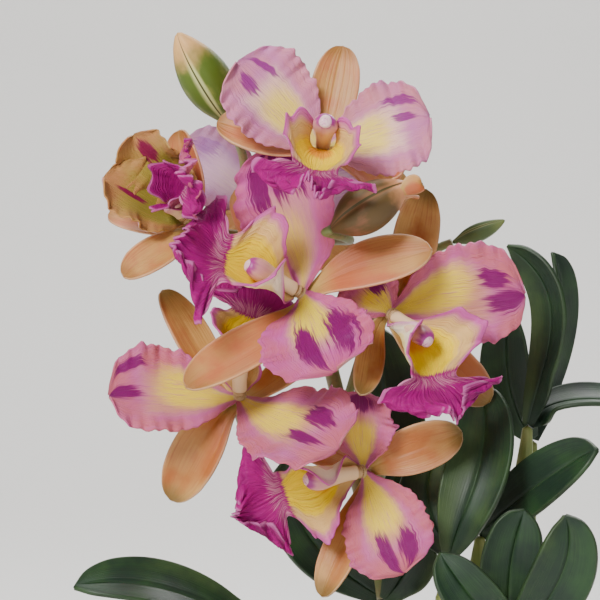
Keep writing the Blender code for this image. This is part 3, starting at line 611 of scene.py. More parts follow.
PETAL = petal_tissue("petal face", "#B84C92", "#C47C84", "#BC5A64", "#DFC23A", "#720056")
PETAL_WARM = petal_tissue("petal face, warm", "#B85690", "#C28070", "#BA6058", "#DFC03A", "#720056")
PETAL_SOFT = petal_tissue("petal face, pale", "#BE6EA0", "#E4B4A6", "#CC8284", "#EACC60", "#7A0870", 0.85)
PETAL_CUP = petal_tissue("petal face, half open", "#A4823C", "#9A8634", "#B0704A", "#86782A", "#780A3A")
PETAL_BACK = petal_tissue("petal back", "#CF8EA6", "#E0BDA6", "#D08A76", "#DDCB8C", "#B0558E", 0.6)
LILAC_BACK = petal_tissue("petal back, lilac", "#A0709A", "#B48CA2", "#AE7484", "#CFBE88", "#7E3C88", 0.5)
LIP = lip_tissue("lip face", "#960068", "#BE5496", "#ECC816", "#D8AC6C")
LIP_BACK = lip_tissue("lip back", "#8A1660", "#DFA0B8", "#F0DC90", "#EFDCC0", back=True)
LIP_CUP = lip_tissue("lip back, half open", "#B4506E", "#CC8A74", "#C9946E", "#C98A6C", back=True)
SEPAL = sepal_tissue("sepal face", "#B26038", "#A84C34", "#8F5E24", "#823E1F")
SEPAL_GOLD = sepal_tissue("sepal face, golden", "#9E5720", "#9A4829", "#68501B", "#6E3819")
SEPAL_BACK = sepal_tissue("sepal back", "#B87248", "#AA5C44", "#8E7034", "#86502E")
COLUMN = column_tissue()
ANTHER = plain_tissue("anther cap", "#E6C4C2", "#DBA6B4", "#B85A98", 4.0, 0.42, 0.1)
BUD_GREEN = bud_tissue("bud, green", "#4C5F14", "#B9BC7A", "#CC9C62", "#97964C")
BUD_RIPE = bud_tissue("bud, opening", "#55401F", "#7C5638", "#C78A5E", "#8E5440")
BUD_YOUNG = bud_tissue("bud, young", "#4F6138", "#8A9460", "#6E7A44", "#5B6A3C")
HEART = plain_tissue("heart of the bloom", "#C9A77A", "#BD9A62", "#CFA088", 3.0, 0.5, 0.05)
STEM = plain_tissue("flower stem", "#6C7440", "#7C6A44", "#59633A", 9.0, 0.45, 0.15)
CANE = plain_tissue("cane skin", "#6E7A3E", "#87894C", "#55622F", 14.0, 0.45, 0.25, (3.0, 14.0, 2.0))
SHEATH = plain_tissue("dry sheath", "#8E7850", "#A8946C", "#665033", 7.0, 0.75, 0.4, (2.0, 22.0, 2.0))
LEAF = leaf_tissue()
LEAF_BACK = plain_tissue("leaf underside", "#2C4826", "#37552D", "#223A1E", 16.0, 0.55, 0.12, (2.0, 20.0, 4.0))
ROOT = plain_tissue("root skin", "#B7B7A4", "#A3A690", "#8E9A72", 4.0, 0.75, 0.2)
BARK = bark_chips()
CLAY = fired_clay()


def dress(piece, node):
    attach(piece, "root")
    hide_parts(node)
    return piece


# The blooms

class Bloom:
    """One flower. Its three seats lie one on the other along the way it faces, and carry the sepals,
    the petals, and the lip with the column."""

    def __init__(self, middle, facing, lip_up):
        self.middle = seen(*middle)
        self.facing = unit(facing)
        self.lip_up = unit(lip_up)
        self.level_up = unit(self.lip_up - self.facing * (self.lip_up @ self.facing))

    def seat(self, layer):
        return self.middle + self.facing * layer * (SEAT_THICK + GAP)

    def stem_end(self):
        return self.middle - self.facing * (SEAT_THICK / 2 + GAP)

    def spine(self, layer, tip, face, bow, leave):
        """Leaves the seat sideways in its own layer, and then turns to the tip."""
        seat = self.seat(layer)
        reach = tip - seat
        sideways = unit(reach - self.facing * (reach @ self.facing))
        root = seat + sideways
        length = np.linalg.norm(tip - root)
        normal = unit(face - reach * (face @ reach) / (reach @ reach))
        return root, root + sideways * length * leave, root + (tip - root) * 0.66 + normal * bow, tip


def petal_marks(blotches, gold, deep, middle):
    """Where a petal is yellow, where it is splashed, and where it deepens to its margin."""

    def marks(s, t):
        stain = np.zeros_like(s)
        for s_middle, t_middle, length, breadth in blotches:
            apart = ((s - s_middle) / length) ** 2 + ((t - t_middle) / breadth) ** 2
            stain = np.maximum(stain, np.exp(-apart))
        return {
            "gold": np.clip(1 - ((t - middle * s) / 0.6) ** 2, 0, 1) * (1 - settle((s - 0.45) / 0.35)) * gold,
            "blotch": stain,
            "rim": np.maximum(settle((abs(t) - 0.1) / 0.7), settle((s - 0.55) / 0.35)) * deep,
        }

    return marks


def sepal_marks(s, t):
    return {"gold": settle((s - 0.72) / 0.28), "rim": settle((abs(t) - 0.88) / 0.12), "deep": 1 - settle(s / 0.45)}


def lip_marks(stained_from=0.53):
    """Yellow down the throat, magenta on the front lobe with a fringe of pale veins where it starts, pink at the
    side lobes' margins, and a pale hem."""

    def marks(s, t):
        wide = abs(t)
        front = settle((s - stained_from) / 0.12)
        return {
            "gold": np.clip(1.15 - (t / 0.62) ** 2, 0, 1) * settle((s - 0.1) / 0.15) * (1 - settle((s - 0.57) / 0.12)),
            "front": front,
            "fringe": settle((s - 0.56) / 0.06) * (1 - settle((s - 0.66) / 0.18)),
            "deep": (1 - settle((s - 0.26) / 0.2)) * (1 - settle((wide - 0.12) / 0.34)),
            "rim": settle((wide - 0.62) / 0.38) * (1 - front),
            "edge": front * np.maximum(settle((wide - 0.88) / 0.12), settle((s - 0.965) / 0.035)),
        }

    return marks


def leaf_marks(s, t):
    return {"gold": np.exp(-((t / 0.05) ** 2)), "rim": settle((abs(t) - 0.93) / 0.07)}


# A blotch on a petal: its middle along and across the blade, its length and its breadth.
WINGS = ((0.8, 0.4, 0.15, 0.26), (0.8, -0.4, 0.15, 0.26))


def sepal(tip, width=20.0, curl=0.35, **more):
    return {"tip": tip, "width": width, "curl": curl, "outline": SEPAL_OUTLINE, **more}


def petal(tip, width=37.0, curl=0.25, wave=1.8, blotches=WINGS, gold=1.0, deep=1.0, middle=0.0, looks=PETAL, **more):
    return {"tip": tip, "width": width, "curl": curl, "wave": wave, "outline": PETAL_OUTLINE, "frill": 1.1, "frills": 11.0, "notch": 0.045,
            "dye": (blotches, gold, deep, middle), "looks": looks, **more}  # fmt: skip


GOLDEN_SEPALS = ("bloom_low_left", "bloom_bottom", "bloom_right")


def make_whorl(name, kind, layer, organs):
    """The sepals or the petals of a bloom, joined at their seat."""
    bloom = BLOOMS[name]
    parts = [seat_disc("seat", bloom.seat(layer), bloom.facing, SEAT_RADIUS - 0.4, SEAT_THICK, HEART)]
    for i, organ in enumerate(organs):
        organ = dict(organ)
        tip = seen(*organ.pop("tip"))
        face = unit(organ.pop("face", bloom.facing))
        spine = bloom.spine(layer, tip, face, organ.pop("bow", 2.0), organ.pop("leave", 0.3))
        number = len(name) + 3.7 * i
        if kind == "petals":
            marks = petal_marks(*organ.pop("dye"))
            looks = (LILAC_BACK if name == "bloom_back" else PETAL_BACK, organ.pop("looks"))
            cells, thick = (64, 44), PETAL_THICK
        else:
            tint = SEPAL_GOLD if name in GOLDEN_SEPALS else SEPAL
            marks, looks, cells, thick = sepal_marks, (SEPAL_BACK, tint), (52, 22), SEPAL_THICK
            organ.setdefault("keel", 0.35)
            organ.setdefault("rounding", 0.02)
        shape = blade(spine, bloom.facing, face, **{"rounding": 0.07, **organ})
        parts.append(sheet(f"{kind}_{i}", cells, shape, marks, number, thick, looks))
    dress(joined(f"{kind}_of_{name}", parts), f"{name}_{kind}")


def make_lip(name, tip, width=46.0, curl=1.0, wave=2.2, drop=6.0, bow=-3.0, phase=0.0, lean=0.0, skew=0.0,
             looks=None, stained_from=0.53, frill=1.3):  # fmt: skip
    """The lip rolls round the column in a tube, narrows, and opens in a waved front lobe."""
    bloom = BLOOMS[name]
    up = bloom.lip_up
    seat = bloom.seat(2)
    tip = seen(*tip)
    root = seat - bloom.level_up * LIP_SETBACK
    reach = tip - root
    throat = root + bloom.facing * np.linalg.norm(reach) * 0.3 - bloom.level_up * drop
    shoulder = root + reach * 0.62 - up * drop * 0.4 + up * bow
    shape = blade((root, throat, shoulder, tip), bloom.level_up, up, width, LIP_OUTLINE, curl=curl, curls=LIP_CURL, flare=LIP_FLARE,
                  lean=lean, skew=skew, wave=wave, phase=phase, waving=LIP_WAVING, fan=0.23, ruffled=True, frill=frill, frills=17.0, notch=0.035, rounding=0.2, blunt=0.86)  # fmt: skip
    parts = [
        seat_disc("seat", seat, bloom.facing, SEAT_RADIUS - 0.4, SEAT_THICK, HEART),
        sheet("lip", (104, 96), shape, lip_marks(stained_from), len(name), LIP_THICK, looks or (LIP_BACK, LIP)),
    ]
    dress(joined(f"lip_of_{name}", parts), f"{name}_lip")


COLUMN_RADII = ((0, 3.1), (0.05, 3.0), (0.2, 2.9), (0.45, 3.5), (0.7, 4.6), (0.86, 4.2), (0.95, 3.1), (1, 1.6))


def make_column(name, length):
    """The column stands on the innermost seat, inside the rolled lip: winged along its sides, with the anther
    cap over its end."""
    bloom = BLOOMS[name]
    foot = bloom.seat(2) + bloom.facing * (SEAT_THICK / 2 + GAP)
    end = foot + bloom.facing * length - bloom.level_up * 1.5
    late = end - bloom.facing * length * 0.3 + bloom.level_up
    spine = (foot, foot + bloom.facing * length * 0.35, late, end)

    def winged(s, angle):
        return along(COLUMN_RADII, s) * (1 + 0.12 * np.cos(2 * angle) * np.sin(math.pi * s))

    way = unit(end - late)
    cap = (end - way * 3.4, end - way * 2.4, end - way * 0.8, end + way * 0.3)
    parts = [
        spindle("column", spine, winged, COLUMN, flat=0.85, face=bloom.level_up),
        spindle("anther", [p - bloom.level_up * 0.5 for p in cap], lambda s, angle: 2.8 * np.sin(math.pi * s) ** 0.5,
                ANTHER, cells=(24, 18), face=bloom.level_up),
    ]  # fmt: skip
    dress(joined(f"column_of_{name}", parts), f"{name}_column")


def make_bloom(name, sepals, petals, lip, column_length=COLUMN_LENGTH):
    make_whorl(name, "sepals", 0, sepals)
    make_whorl(name, "petals", 1, petals)
    make_lip(name, **lip)
    make_column(name, column_length)


BLOOMS = {
    "bloom_top": Bloom((8.8, 59.2, 14), (0.05, -0.9, 0.4), (0.2, 0.35, 0.9)),
    "bloom_left": Bloom((-43.2, 31.2, 26), (-0.7, -0.5, 0.5), (-0.75, -0.6, 0.1)),
    "bloom_centre": Bloom((2.4, 1.6, 20), (-0.72, -0.5, 0.42), (0.45, -0.78, 0.35)),
    "bloom_right": Bloom((35.2, -4.8, 20), (0.5, -0.8, -0.33), (0.25, -0.7, 0.6)),
    "bloom_low_left": Bloom((-24, -40.8, 32), (0, -0.58, 0.81), (0, -0.95, -0.3)),
    "bloom_bottom": Bloom((27.2, -68, 22), (-0.8, -0.58, -0.1), (0.38, -0.9, -0.18)),
    "bloom_back": Bloom((-14, 38, 62), (-0.45, 0.8, 0.4), (0.3, 0.1, 0.9)),
}


def make_blooms():
    make_bloom(
        "bloom_top",
        [
            sepal((17.2, 101.6, 26)),
            sepal((-33.2, 71.2, 20), width=19, face=(0.1, -0.9, 0.3)),
            sepal((46, 38, 44), width=19),
        ],
        [
            petal((-25.2, 95.2, 8), width=40, face=(0.25, -0.95, 0.15), looks=PETAL_SOFT,
                  blotches=((0.81, -0.16, 0.12, 0.17), (0.82, 0.38, 0.15, 0.1))),
            petal((52, 72.8, 8), width=40, wave=2.4, face=(-0.1, -0.95, 0.25), phase=1.0, looks=PETAL_SOFT,
                  blotches=((0.8, -0.6, 0.17, 0.14), (0.78, -0.18, 0.13, 0.13))),
        ],
        {"tip": (4, 46, -30), "width": 50, "curl": 1.0, "phase": 0.5, "wave": 3.4, "frill": 1.8},
    )
    make_bloom(
        "bloom_left",
        [
            sepal((-48, 68, 28), width=19, curl=0.6, face=(-0.6, -0.8, 0)),
            sepal((-76.8, 34, 34), width=15),
            sepal((-70.4, 9, 14), width=18, face=(0, -0.7, 0.7)),
        ],
        [
            petal((-66.8, 66, 18), width=30, curl=0.7, wave=3.4, face=(0.2, -0.6, -0.8), looks=PETAL_CUP,
                  blotches=((0.8, 0.1, 0.14, 0.3),)),
            petal((-79, 48, 17), width=30, curl=0.7, wave=3.0, face=(0.5, -0.8, 0.3), looks=PETAL_CUP,
                  blotches=((0.7, 0.0, 0.2, 0.1),)),
        ],
        {"tip": (-46, 54, -12), "width": 34, "drop": 8, "wave": 3.0, "frill": 2.0,
         "stained_from": 0.1, "looks": (LIP_CUP, LIP)},
        column_length=7.0,
    )
    make_bloom(
        "bloom_centre",
        [
            sepal((52.8, 20, 5), width=24, face=(-0.2, -0.8, 0.55), leave=0.4),
            sepal((-45.6, -35.2, 0), width=22, face=(-0.1, -0.8, 0.6)),
            sepal((-26, 44, 40), width=20),
        ],
        [
            petal((-12, 60, 22), width=42, wave=2.6, face=(-0.35, -0.93, 0),
                  gold=0.6, middle=-0.3,
                  blotches=((0.82, -0.46, 0.3, 0.26), (0.86, -0.02, 0.26, 0.2), (0.84, 0.42, 0.22, 0.18))),
            petal((14, -28.8, -14), width=47, wave=2.6, skew=0.08, face=(-0.2, -0.75, 0.6),
                  blotches=((0.68, 0.24, 0.34, 0.2), (0.6, -0.44, 0.3, 0.36))),
        ],
        {"tip": (-49.6, 26, -10), "width": 60, "curl": 1.04, "lean": -0.22, "wave": 3.0, "frill": 1.6},
    )
    make_bloom(
        "bloom_right",
        [
            sepal((50.5, 44.4, 35), face=(0.2, -0.95, -0.1)),
            sepal((76, -40.8, 28), width=21, face=(0.3, -0.9, -0.3)),
            sepal((24, -38, -2), width=13, face=(0.7, -0.7, 0), twist=0.8),
        ],
        [
            petal((90, 2, 12), looks=PETAL_WARM, width=42, skew=-0.15, face=(0.1, -0.95, -0.15),
                  middle=-0.5,
                  blotches=((0.79, -0.36, 0.12, 0.22), (0.9, 0.1, 0.21, 0.34))),
            petal((21, 9.5, 21), looks=PETAL_WARM, width=32, face=(-0.55, -0.8, 0.2), blotches=((0.55, 0.3, 0.2, 0.3),)),
        ],
        {"tip": (62, -47, -18), "width": 56, "curl": 0.97, "lean": 0.3, "skew": -0.15, "wave": 3.0, "frill": 1.6},
    )
    make_bloom(
        "bloom_low_left",
        [
            sepal((-52, -80, 34), width=22, face=(0, -0.9, 0.4)),
            sepal((-55.2, 4, 42), width=18),
            sepal((14, -14, 46), width=18),
        ],
        [
            petal((-76.4, -38.8, 12), looks=PETAL_WARM, width=38, skew=0.2, face=(0.1, -0.9, 0.4),
                  middle=0.4,
                  blotches=((0.92, 0.1, 0.18, 0.2), (0.84, 0.7, 0.13, 0.17))),
            petal((15, -60, -17), looks=PETAL_WARM, width=46, wave=2.4, face=(0.1, -0.85, 0.5), bow=5,
                  blotches=((0.7, -0.4, 0.16, 0.26), (0.74, 0.16, 0.17, 0.15))),
        ],
        {"tip": (-14, 12, 42), "width": 52, "curl": 0.85, "drop": 9},
    )
    make_bloom(
        "bloom_bottom",
        [
            sepal((8.8, -118.8, 18), width=17, face=(-0.5, -0.85, 0)),
            sepal((64.8, -52.8, 14), width=20, face=(-0.3, -0.9, -0.1)),
            sepal((-8, -50, 46), width=18),
        ],
        [
            petal((42, -109.2, 2), looks=PETAL_WARM, width=38, face=(-0.3, -0.93, 0.1),
                  blotches=((0.8, -0.36, 0.2, 0.28), (0.8, 0.2, 0.26, 0.2))),
            petal((24, -37, 16), looks=PETAL_WARM, width=36, wave=2.6, face=(-0.55, -0.8, 0), blotches=((0.9, 0.0, 0.16, 0.6),)),
        ],
        {"tip": (-27, -86, 7), "width": 56, "curl": 0.92, "lean": 0.25, "wave": 3.0, "frill": 1.6},
    )
    make_bloom(
        "bloom_back",
        [
            sepal((-2, 86, 53), width=18),
            sepal((-54, 18, 74), width=19),
            sepal((28, 8, 88), width=19),
        ],
        [
            petal((-48, 62, 68), width=34, gold=0.3, looks=PETAL_SOFT),
            petal((32, 52, 90), width=34, gold=0.6, looks=PETAL_SOFT),
        ],
        {"tip": (-24, 34, 104), "width": 46, "drop": 4.5},
    )


# Buds

BUD_RADII = ((0, 1.6), (0.08, 3.2), (0.3, 8.2), (0.5, 9.8), (0.7, 8.4), (0.88, 4.8), (1, 1.0))
BUDS = {
    "bud_green": (((-27, 69, 34), (-32, 82, 28), (-42, 94, 18), (-49, 107, 12)), 1.08, BUD_GREEN, 0.0),
    "bud_opening": (((13, 28.5, 4), (20, 32, -2), (32, 40, -2), (43, 46.5, 4)), 1.04, BUD_RIPE, 0.3),
    "bud_young": (((61, 23, 70), (67, 25, 68), (75, 28, 66), (82, 32, 64)), 0.42, BUD_YOUNG, 0.0),
}


def make_buds():
    """Three sepals wrap each bud, each with one edge lapped over the next."""
    for name, (spine, share, looks, turned) in BUDS.items():

        def wrapped(s, angle, share=share, turned=turned):
            seam = (0.5 + 0.5 * np.cos(3 * (angle + turned))) ** 4
            lap = 0.07 * (1 - np.mod(3 * (angle + turned) / (2 * math.pi), 1.0))
            return along(BUD_RADII, s) * share * (1 - 0.15 * seam + lap - 0.03)

        made = spindle(name + "_wrapped", [seen(*p) for p in spine], wrapped, looks, cells=(72, 48), face=(0, -1, 0.2))
        place = np.empty(len(made.data.vertices) * 3, np.float32)
        made.data.attributes["place"].data.foreach_get("vector", place)
        s, turn = place[0::3], place[1::3]
        mark(made.data, gold=settle((s - 0.5) / 0.5), rim=(0.5 + 0.5 * np.cos(3 * (math.pi * turn + turned))) ** 6)
        tips = parted_tips([seen(*p) for p in spine]) if name == "bud_opening" else []
        dress(joined(made.name, [made, *tips]), name)


def parted_tips(spine):
    """The sepals' tips, which turn out as the bud opens."""
    tips = []
    for k in range(3):
        place, heading = bezier(spine, 0.84)
        side = unit(np.cross(heading, (0.0, -1.0, 0.2)))
        angle = math.radians(60 + 120 * k)
        out = side * math.cos(angle) + np.cross(side, heading) * math.sin(angle)
        root = place + out * 4.6
        way = (root, root + heading * 4, root + heading * 8 + out, root + heading * 8.5 + out * 5)
        shape = blade(way, out, out, 9.0, SEPAL_OUTLINE, curl=-0.8, rounding=0.1)
        tips.append(sheet("tip", (16, 10), shape, sepal_marks, k, SEPAL_THICK, (SEPAL_BACK, SEPAL)))
    return tips


# The flower stem, which carries every bloom and bud

STEM_PATH = (
    (34, -119.3, 50), (31, -100, 54), (26, -84, 58), (17, -46, 63), (8, -12, 60), (-2, 14, 54), (-10, 28, 48),
)  # fmt: skip
STEM_RADII = (3.6, 2.9)
STEM_STEPS = 3
FINER = 4
PEDICELS = {
    # Each leaves the stem at a share of its length, and bends through these points on its way.
    "bloom_bottom": (0.22, ((32, -72, 40),)),
    "bloom_low_left": (0.42, ((0, -44, 50),)),
    "bloom_right": (0.5, ((26, -16, 46),)),
    "bloom_centre": (0.66, ((12, -6, 44),)),
    "bloom_left": (0.88, ((-24, 26, 42),)),
    "bloom_top": (0.94, ((2, 44, 44),)),
    "bloom_back": (0.97, ((-10, 32, 50),)),
}
BUD_STALKS = {
    "bud_green": (1.0, ((-20, 42, 46), (-23, 58, 42))),
    "bud_opening": (0.75, ((8, 22, 46), (20, 24, 24))),
    "bud_young": (0.62, ((26, 2, 66), (46, 16, 72))),
}
OVARY_RADIUS = 2.6
PEDICEL_RADIUS = 1.9
OVARY_LENGTH = 9.0
BUD_NECK = 4.0
BRACT_LENGTH = 9.0


def tapering(count, first, last):
    return [first + (last - first) * k / (count - 1) for k in range(count)]


def bract(start, way):
    """The small dry scale under a pedicel."""
    side = unit(np.cross(way, (0.0, -1.0, 0.3)))
    out = np.cross(side, way)
    root = start + out * PEDICEL_RADIUS
    spine = (root, root + way * 3 + out, root + way * 6 + out * 1.6, root + way * BRACT_LENGTH + out * 3)
    shape = blade(spine, out, out, 5.0, SEPAL_OUTLINE, curl=-0.9, rounding=0.1)
    return sheet("bract", (12, 8), shape, sepal_marks, 1.0, 0.4, (SHEATH, SHEATH))


def make_flower_stem():
    path = smooth_path([seen(*p) for p in STEM_PATH], STEM_STEPS * FINER)
    parts = [tube("stem", path, tapering(len(path), *STEM_RADII), STEM, sides=6)]
    joints = len(path[::FINER]) - 1
    for name, (share, through) in [*PEDICELS.items(), *BUD_STALKS.items()]:
        start = path[round(share * joints) * FINER]
        if name in BLOOMS:
            bloom = BLOOMS[name]
            end = bloom.stem_end()
            neck = end - bloom.facing * OVARY_LENGTH
        else:
            spine = [seen(*p) for p in BUDS[name][0]]
            way = unit(spine[1] - spine[0])
            neck, end = spine[0] - way * BUD_NECK, spine[0] - way * GAP
        route = smooth_path([start, *[seen(*p) for p in through], neck], 2 * FINER)
        radii = [PEDICEL_RADIUS] * (len(route) - 1)
        ovary = [neck + (end - neck) * k / 6 for k in range(1, 7)]
        swell = OVARY_RADIUS - PEDICEL_RADIUS if name in BLOOMS else 0
        radii += [PEDICEL_RADIUS + swell * settle(k / 3) for k in range(7)]
        parts.append(tube("pedicel", route + ovary, radii, STEM))
        parts.append(bract(start, unit(route[4] - start)))
    dress(joined("flower_stem_and_stalks", parts), "flower_stem")


# Canes, leaves, rhizome and roots

CANES = {
    "cane_right": ((34, 8), (91, -50, 60)),
    "cane_far_right": ((40, 28), (93, -56, 96)),
    "cane_middle": ((8, -8), (60, -102, 20)),
    "cane_inner": ((22, 2), (72, -94, 46)),
    "cane_flowering": ((-14, 10), (34, -120, 50)),
    "cane_left": ((-38, 4), (-8, -142, 40)),
    "cane_front": ((36, -26), (84, -139, 10)),
}
LEAVES = {
    # The cane that bears it, its place among that cane's leaves from the back to the front, the places that it
    # bends through and ends at, its width, and the way its upper side turns.
    "leaf_tall": ("cane_right", 0.5, ((98, -24, 50), (113, 4, 46), (82.8, 21.6, 52)), 20, (-0.75, -0.65, 0.1)),
    "leaf_level": ("cane_right", -0.5, ((100, -38, 64), (118, -38, 60), (146, -44, 66)), 24, (0, -0.35, 0.94)),
    "leaf_far": ("cane_far_right", -0.5, ((100, -26, 102), (110, 0, 96), (101, 19, 90)), 24, (0.85, -0.5, 0)),
    "leaf_shade": ("cane_far_right", 0.5, ((84, -44, 90), (80, -26, 88), (84, -4, 84)), 24, (-0.4, -0.9, 0)),
    "leaf_middle": ("cane_middle", 0.5, ((64, -84, 10), (80, -60, 18), (72, -34, 38)), 28, (-0.3, -0.9, 0.3)),
    "leaf_inner": ("cane_middle", -0.5, ((52, -88, 32), (46, -76, 40), (56, -62, 48)), 24, (-0.2, -0.95, 0.2)),
    "leaf_right": ("cane_inner", 0, ((84, -82, 32), (104, -66, 14), (119, -60, 4)), 25, (0.3, -0.75, 0.55)),
    "leaf_low": ("cane_flowering", -2.3, ((10, -106, 62), (-4, -92, 62), (-6, -64, 60)), 25, (0, -0.98, 0.1)),
    "leaf_under": ("cane_flowering", 2.3, ((44, -108, 38), (46, -102, 36), (40, -90, 40)), 24, (0, -0.9, 0.3)),
    "leaf_behind": ("cane_flowering", -3.7, ((42, -80, 86), (36, -40, 92), (30, -10, 88)), 31, (0, -0.98, 0.1)),
    "leaf_left": ("cane_left", 0, ((-30, -122, 20), (-60, -108, 2), (-90.4, -115, -6)), 27, (0.2, -0.6, 0.75)),
    "leaf_blunt": ("cane_front", -1, ((82, -120, 12), (84, -98, 4), (90, -84, 6)), 25, (-0.1, -0.98, 0)),
    "leaf_pale": ("cane_front", 0, ((97, -124, 2), (113, -106, -6), (106, -86, -4)), 26, (0, -0.98, 0)),
    "leaf_corner": ("cane_front", 1.4, ((79, -128, -8), (66, -120, -12), (56, -101, -4)), 22, (0.1, -0.98, 0.1)),
}
LEAF_STEP = LEAF_THICK + GAP
CANE_RADII = ((0, 2.6), (0.1, 4.2), (0.4, 6.4), (0.65, 5.6), (0.88, 3.6), (1, 2.0))
CANE_NODES = (0.14, 0.3, 0.47, 0.64, 0.81)
CANE_RIBS = 11
RHIZOME_Z = 102.0
RHIZOME_RADIUS = 4.0
FOOT_RADIUS = 4.4
FOOT_HEIGHT = 5.0
RHIZOMES = (
    ("cane_left", "cane_flowering", "cane_middle", "cane_front"),
    ("cane_middle", "cane_inner", "cane_right", "cane_far_right"),
)


def foot_of(name):
    x, y = CANES[name][0]
    return np.array((x, y, RHIZOME_Z), float)


def cane_spine(name):
    foot = foot_of(name) + np.array((0, 0, FOOT_HEIGHT + RHIZOME_RADIUS + GAP))
    end = seen(*CANES[name][1])
    rise = np.linalg.norm(end - foot) / 3
    up = np.array((0, 0, 1.0))
    return foot, foot + up * rise, end - unit(unit(end - foot) + up) * rise, end


def cane_radius(s, angle):
    """Ribbed between ringed nodes, as the cane shrinks a little between them."""
    rings = sum(np.exp(-(((s - node) / 0.007) ** 2)) for node in CANE_NODES)
    ribs = 0.035 * np.cos(CANE_RIBS * angle) * np.sin(math.pi * s)
    return along(CANE_RADII, s) * (1 + ribs * (1 - rings)) + 0.35 * rings


def cane_sheath(name, spine, start, end, number):
    """A dry sheath that wraps the cane above a node, and ends in a torn edge."""

    def shape(s, t):
        torn = 1 + 0.09 * np.sin(7 * t + number) + 0.05 * np.sin(17 * t + 2 * number)
        reach = start + (end - start) * s * np.where(s > 0.8, torn, 1.0)
        place, heading = bezier(spine, reach)
        side = unit(np.cross(heading, (0.0, -1.0, 0.0)))
        normal = np.cross(side, heading)
        angle = (t * 3.3 + number)[:, None]
        radius = (cane_radius(reach, angle[:, 0]) + 0.45 + 0.25 * (t + 1) + 0.8 * s**4)[:, None]
        return place + (side * np.cos(angle) + normal * np.sin(angle)) * radius

    return sheet(name, (20, 48), shape, sepal_marks, number, 0.3, (SHEATH, SHEATH))


def make_canes():
    for k, name in enumerate(CANES):
        spine = cane_spine(name)
        made = spindle(name + "_ribbed", spine, cane_radius, CANE, cells=(66, 96), face=(0, -1, 0), number=k)
        parts = [made]
        for i, (node, end) in enumerate(zip(CANE_NODES, (0.27, 0.42, 0.6))):
            parts.append(cane_sheath("sheath", spine, node, end, 1.7 * k + i))
        dress(joined(made.name, parts), name)


def make_leaves():
    for k, (name, (cane, place, bends, width, face)) in enumerate(LEAVES.items()):
        top, lean = bezier(cane_spine(cane), 1.0)
        front = unit(np.array((0, -1.0, 0)) + lean * lean[1])
        root = top + lean * (GAP + 0.1) + front * place * LEAF_STEP
        spine = (root, *[seen(*p) for p in bends])
        shape = blade(spine, front, unit(face), width, LEAF_OUTLINE, curl=0.55, keel=0.9, rounding=0.08)
        made = sheet(name + "_blade", (56, 36), shape, leaf_marks, k, LEAF_THICK, (LEAF_BACK, LEAF))
        dress(joined(made.name, [made]), name)


def make_rhizome():
    parts = []
    for branch in RHIZOMES:
        path = smooth_path([foot_of(name) for name in branch], 16)
        radii = [RHIZOME_RADIUS * (0.97 + 0.06 * (k % 4 == 0)) for k in range(len(path))]
        parts.append(tube("rhizome", path, radii, CANE, sides=6))
    for name in CANES:
        foot = foot_of(name)
        rings = [foot + np.array((0, 0, (FOOT_HEIGHT + RHIZOME_RADIUS) * k / 12)) for k in range(13)]
        radii = [FOOT_RADIUS * (0.94 + 0.06 * (k % 3 == 0)) * (1 - 0.08 * (k == 12)) for k in range(13)]
        parts.append(tube("foot", rings, radii, SHEATH, sides=6))
    dress(joined("rhizome_and_feet", parts), "rhizome")


ROOT_RADIUS = 1.5
ROOTS = {
    "root_left": ((-39, -0.5, 99.8), (-44, -8, 99.6), (-46, -18, 99.8), (-38, -30, 99.6)),
    "root_front": ((8, -12.6, 99.8), (4, -24, 99.6), (12, -36, 99.8), (14, -48, 99.6)),
    "root_over": (
        (41, -26, 100.5), (46, -27, 103.5), (51, -28, 107.6), (58, -29, 108.6),
        (64, -29, 105), (66, -28, 92), (65, -27, 78),
    ),
}  # fmt: skip


def make_roots():
    """Corky grey roots, each with a green growing tip."""
    for name, points in ROOTS.items():
        path = smooth_path([np.array(p, float) for p in points], 12)
        radii = np.array(tapering(len(path), ROOT_RADIUS, ROOT_RADIUS * 0.7))
        radii *= 1 + 0.04 * np.sin(np.arange(len(path)) * 2.3)
        live = max(len(path) // 9, 3)
        radii[-2:] *= (0.8, 0.45)
        parts = [tube(name, path[:-live], radii[:-live], ROOT), tube("tip", path[-live - 1 :], radii[-live - 1 :], BUD_YOUNG)]
        dress(joined(name + "_corky", parts), name)


# Pot and bark

BARK_SIDE_GAP = 0.4


def inner_radius(height):
    return POT_FOOT_RADIUS + (POT_TOP_RADIUS - RIM_STEP - POT_FOOT_RADIUS) * height / POT_HEIGHT - POT_WALL


def eased(profile, radius, steps=5):
    """A profile whose corners are rounded, where the edges on both sides are long enough."""
    profile = [np.array(p, float) for p in profile]
    line = [profile[0]]
    for before, corner, after in zip(profile, profile[1:], profile[2:]):
        back, ahead = before - corner, after - corner
        reach = min(radius, np.linalg.norm(back) * 0.4, np.linalg.norm(ahead) * 0.4)
        start, end = corner + unit(back) * reach, corner + unit(ahead) * reach
        for k in range(steps + 1):
            x = k / steps
            line.append(start * (1 - x) ** 2 + corner * 2 * x * (1 - x) + end * x * x)
    return line + [profile[-1]]


